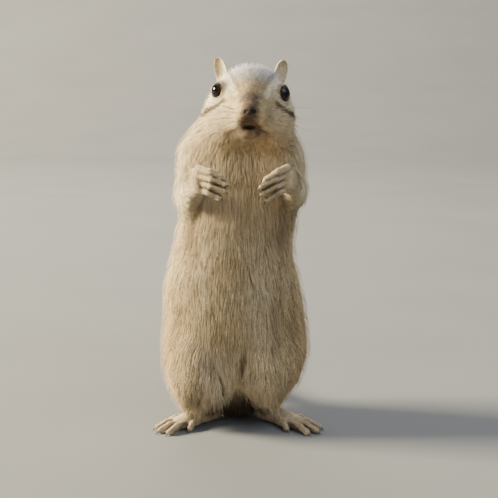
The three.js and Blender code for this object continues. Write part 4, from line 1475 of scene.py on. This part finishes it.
# Root, band and tip of each hair, from hair to hair and from lock to lock.
rooty = ramp(group, along, 0.45, 0.0)
short = calculate(group, "SUBTRACT", 1.0, calculate(group, "MULTIPLY", masks["bare"], 4.0, clamp=True))
rooty = calculate(group, "MULTIPLY", rooty, calculate(group, "MULTIPLY", short, 0.36))
colour = mix(group, rooty, colour, (0.15, 0.115, 0.08))
noise = add_node(group, "ShaderNodeTexNoise", in_Scale=260.0, in_Detail=3.0)
coordinate = group.nodes.new("ShaderNodeTexCoord")
group.links.new(coordinate.outputs["Object"], noise.inputs["Vector"])
plain = calculate(group, "SUBTRACT", 1.0, calculate(group, "MULTIPLY", masks["belly"], 0.65))
tipped = calculate(group, "MULTIPLY", ramp(group, along, 0.6, 1.0), inputs.outputs["Banding"])
tipped = calculate(group, "MULTIPLY", tipped, plain)
dark_tip = calculate(group, "MULTIPLY", tipped, ramp(group, shade, 0.72, 0.86))
pale_tip = calculate(group, "MULTIPLY", tipped, ramp(group, shade, 0.42, 0.24))
colour = mix(group, calculate(group, "MULTIPLY", dark_tip, 0.55), colour, (0.07, 0.045, 0.03))
colour = mix(group, calculate(group, "MULTIPLY", pale_tip, 0.45), colour, (0.72, 0.62, 0.47))
grizzle = add_node(group, "ShaderNodeTexNoise", in_Scale=1100.0, in_Detail=2.0)
group.links.new(coordinate.outputs["Object"], grizzle.inputs["Vector"])
speckle = calculate(group, "MULTIPLY", ramp(group, grizzle.outputs["Fac"], 0.38, 0.62), plain)
light = calculate(group, "ADD", calculate(group, "MULTIPLY", shade, 0.16),
                  calculate(group, "MULTIPLY", lock, 0.28))
light = calculate(group, "ADD", light, calculate(group, "MULTIPLY", noise.outputs["Fac"], 0.22))
light = calculate(group, "ADD", light, calculate(group, "MULTIPLY", speckle, 0.42))
light = calculate(group, "ADD", light, 0.52)
tone = group.nodes.new("ShaderNodeCombineColor")
for i in range(3):
    group.links.new(light, tone.inputs[i])
colour = mix(group, 1.0, colour, tone.outputs[0], "MULTIPLY")
colour = mix(group, calculate(group, "MULTIPLY", masks["bare"], 0.9), colour, PALETTE["bare"])
wet = ramp(group, calculate(group, "MULTIPLY", masks["bare"], masks["brown"]), 0.1, 0.7)
colour = mix(group, wet, colour, (0.043, 0.024, 0.013))
# Near black where the wet nose carries the nostrils' mark: painted shade in the nostril openings.
colour = mix(group, calculate(group, "MULTIPLY", wet, masks["dark"]), colour, (0.006, 0.004, 0.003))
group.links.new(colour, outputs.inputs["Color"])
group.links.new(calculate(group, "SUBTRACT", 0.92, calculate(group, "MULTIPLY", masks["bare"], 0.36)),
                outputs.inputs["Roughness"])
group.links.new(noise.outputs["Fac"], outputs.inputs["Height"])
print("coat colour group:", len(group.nodes), "nodes")


# %% Materials of coat, skin, eye and horn
def material(name, **constants):
    """A material with a Principled shader whose plain values are set on its own sockets."""
    made = bpy.data.materials.new(name)
    made.use_nodes = True
    shader = made.node_tree.nodes["Principled BSDF"]
    for key, value in constants.items():
        shader.inputs[key.replace("_", " ")].default_value = value
    return made, made.node_tree, shader


def attribute(tree, name, output="Vector"):
    node = tree.nodes.new("ShaderNodeAttribute")
    node.attribute_name = name
    return node.outputs[output]


def coat_material(name, banding, bump, **constants):
    made, tree, shader = material(name, **constants)
    node = tree.nodes.new("ShaderNodeGroup")
    node.node_tree = group
    node.inputs["Banding"].default_value = banding
    for socket, source in (("Marks A", "marks_a"), ("Marks B", "marks_b"), ("Marks C", "marks_c"),
                           ("Tuft", "tuft")):
        tree.links.new(attribute(tree, source), node.inputs[socket])
    tree.links.new(node.outputs["Color"], shader.inputs["Base Color"])
    tree.links.new(node.outputs["Roughness"], shader.inputs["Roughness"])
    if bump:
        relief = add_node(tree, "ShaderNodeBump", in_Strength=bump, in_Distance=0.0003)
        tree.links.new(node.outputs["Height"], relief.inputs["Height"])
        tree.links.new(relief.outputs["Normal"], shader.inputs["Normal"])
    return made


fur_material = coat_material("fur_hair", 1.0, 0.0, Sheen_Weight=0.12, Sheen_Roughness=0.5,
                             Specular_IOR_Level=0.22)
tail_material = coat_material("tail_hair", 0.5, 0.0, Sheen_Weight=0.1, Sheen_Roughness=0.5,
                              Specular_IOR_Level=0.25)
skin_material = coat_material("skin_under_hair", 0.0, 0.5, Specular_IOR_Level=0.18)
for name, piece in coat_pieces.items():
    is_tail = name.startswith("coat_tail")
    piece.data.materials.append(tail_material if is_tail else fur_material)
skin.data.materials.append(skin_material)

eye_material, tree, shader = material("eye_gloss", Roughness=0.05, Specular_IOR_Level=0.24)
ring = ramp(tree, attribute(tree, "off_gaze", "Fac"), 0.5, 0.62)
fibres = add_node(tree, "ShaderNodeTexNoise", in_Scale=900.0, in_Detail=4.0)
iris = mix(tree, fibres.outputs["Fac"], (0.008, 0.005, 0.003), (0.026, 0.014, 0.008))
tree.links.new(mix(tree, ring, (0.002, 0.0016, 0.0015), iris), shader.inputs["Base Color"])
for piece in eye_pieces:
    piece.data.materials.append(eye_material)

lid_material, tree, shader = material("lid_skin", Roughness=0.55, Specular_IOR_Level=0.2)
grain = add_node(tree, "ShaderNodeTexNoise", in_Scale=1500.0, in_Detail=3.0)
tree.links.new(mix(tree, grain.outputs["Fac"], (0.012, 0.008, 0.006), (0.035, 0.022, 0.015)),
               shader.inputs["Base Color"])
relief = add_node(tree, "ShaderNodeBump", in_Strength=0.4, in_Distance=0.0002)
tree.links.new(grain.outputs["Fac"], relief.inputs["Height"])
tree.links.new(relief.outputs["Normal"], shader.inputs["Normal"])
for piece in lid_pieces:
    piece.data.materials.append(lid_material)

claw_material, tree, shader = material("claw_horn", Specular_IOR_Level=0.5, Coat_Weight=0.2)
streaks = add_node(tree, "ShaderNodeTexNoise", in_Scale=1200.0, in_Detail=3.0)
tree.links.new(mix(tree, streaks.outputs["Fac"], (0.05, 0.033, 0.022), (0.2, 0.14, 0.09)),
               shader.inputs["Base Color"])
tree.links.new(ramp(tree, streaks.outputs["Fac"], -0.6, 1.6), shader.inputs["Roughness"])
claws.data.materials.append(claw_material)

whisker_material, tree, shader = material("whisker_hair", Roughness=0.4)
tint = add_node(tree, "ShaderNodeTexNoise", in_Scale=300.0)
tree.links.new(mix(tree, tint.outputs["Fac"], (0.14, 0.105, 0.08), (0.42, 0.34, 0.26)),
               shader.inputs["Base Color"])
whiskers.data.materials.append(whisker_material)
print("materials:", len(bpy.data.materials))

# %% [markdown]
# ## Floor, light and camera
#
# The model stands on a plain pale floor that sweeps up into a wall far behind it. The key light is a soft
# panel high on the animal's right side, as in hazy sun, so the front is in half shade. A weak fill comes from
# the front, a panel lights the sweep, and the world is pale all round. The camera looks slightly down on the
# model.

# %% Stage
floor_mesh = bpy.data.meshes.new("floor")
turn = np.linspace(0, math.pi / 2, 25)
profile = [(-4.0, 0.0)] + [(1.0 + 0.7 * math.sin(a), 0.7 - 0.7 * math.cos(a)) for a in turn] + [(1.7, 3.0)]
corners = [(x, y, z) for y, z in profile for x in (-4.0, 4.0)]
strips = [(2 * i, 2 * i + 1, 2 * i + 3, 2 * i + 2) for i in range(len(profile) - 1)]
floor_mesh.from_pydata(corners, [], strips)
floor_mesh.polygons.foreach_set("use_smooth", np.full(len(strips), True))
floor = bpy.data.objects.new("floor", floor_mesh)
bpy.context.scene.collection.objects.link(floor)
floor_material, tree, shader = material("pale_floor", Specular_IOR_Level=0.2)
speckle = add_node(tree, "ShaderNodeTexNoise", in_Scale=90.0, in_Detail=5.0)
tree.links.new(mix(tree, speckle.outputs["Fac"], (0.162, 0.161, 0.159), (0.193, 0.191, 0.189)),
               shader.inputs["Base Color"])
tree.links.new(ramp(tree, speckle.outputs["Fac"], -1.5, 1.2), shader.inputs["Roughness"])
floor_mesh.materials.append(floor_material)

world = bpy.data.worlds.new("studio")
bpy.context.scene.world = world
world.use_nodes = True
world.node_tree.nodes["Background"].inputs["Color"].default_value = (0.88, 0.92, 1.0, 1)
world.node_tree.nodes["Background"].inputs["Strength"].default_value = 0.43


def panel(name, place, target, size, power, colour):
    """A square area light at a place, turned towards a target, in metres."""
    data = bpy.data.lights.new(name, "AREA")
    data.size, data.energy, data.color = size, power, colour
    lamp = bpy.data.objects.new(name, data)
    lamp.location = place
    lamp.rotation_euler = (Vector(target) - Vector(place)).to_track_quat("-Z", "Y").to_euler()
    bpy.context.scene.collection.objects.link(lamp)


middle = (0, 0, 0.08)
panel("key", (-1.96, 0.08, 0.93), middle, 0.6, 304.0, (1.0, 0.905, 0.65))
panel("fill", (0.58, -0.6, 0.95), middle, 0.9, 8.3, (0.77, 0.89, 1.0))
panel("rim", (-0.2, 0.9, 0.7), middle, 0.5, 2.4, (1.0, 0.98, 0.95))
panel("sweep", (0.0, 0.7, 1.2), (0.0, 1.5, 0.1), 1.0, 16.0, (1.0, 0.99, 0.98))

camera_data = bpy.data.cameras.new("camera")
camera = bpy.data.objects.new("camera", camera_data)
bpy.context.scene.collection.objects.link(camera)
camera_data.sensor_width, camera_data.lens = 36, 69.25
camera_data.clip_start = 0.01
camera.location = in_frame([4.4, -380, 150])
camera.rotation_euler = (math.radians(90 - 11.3), 0, 0)
bpy.context.scene.camera = camera
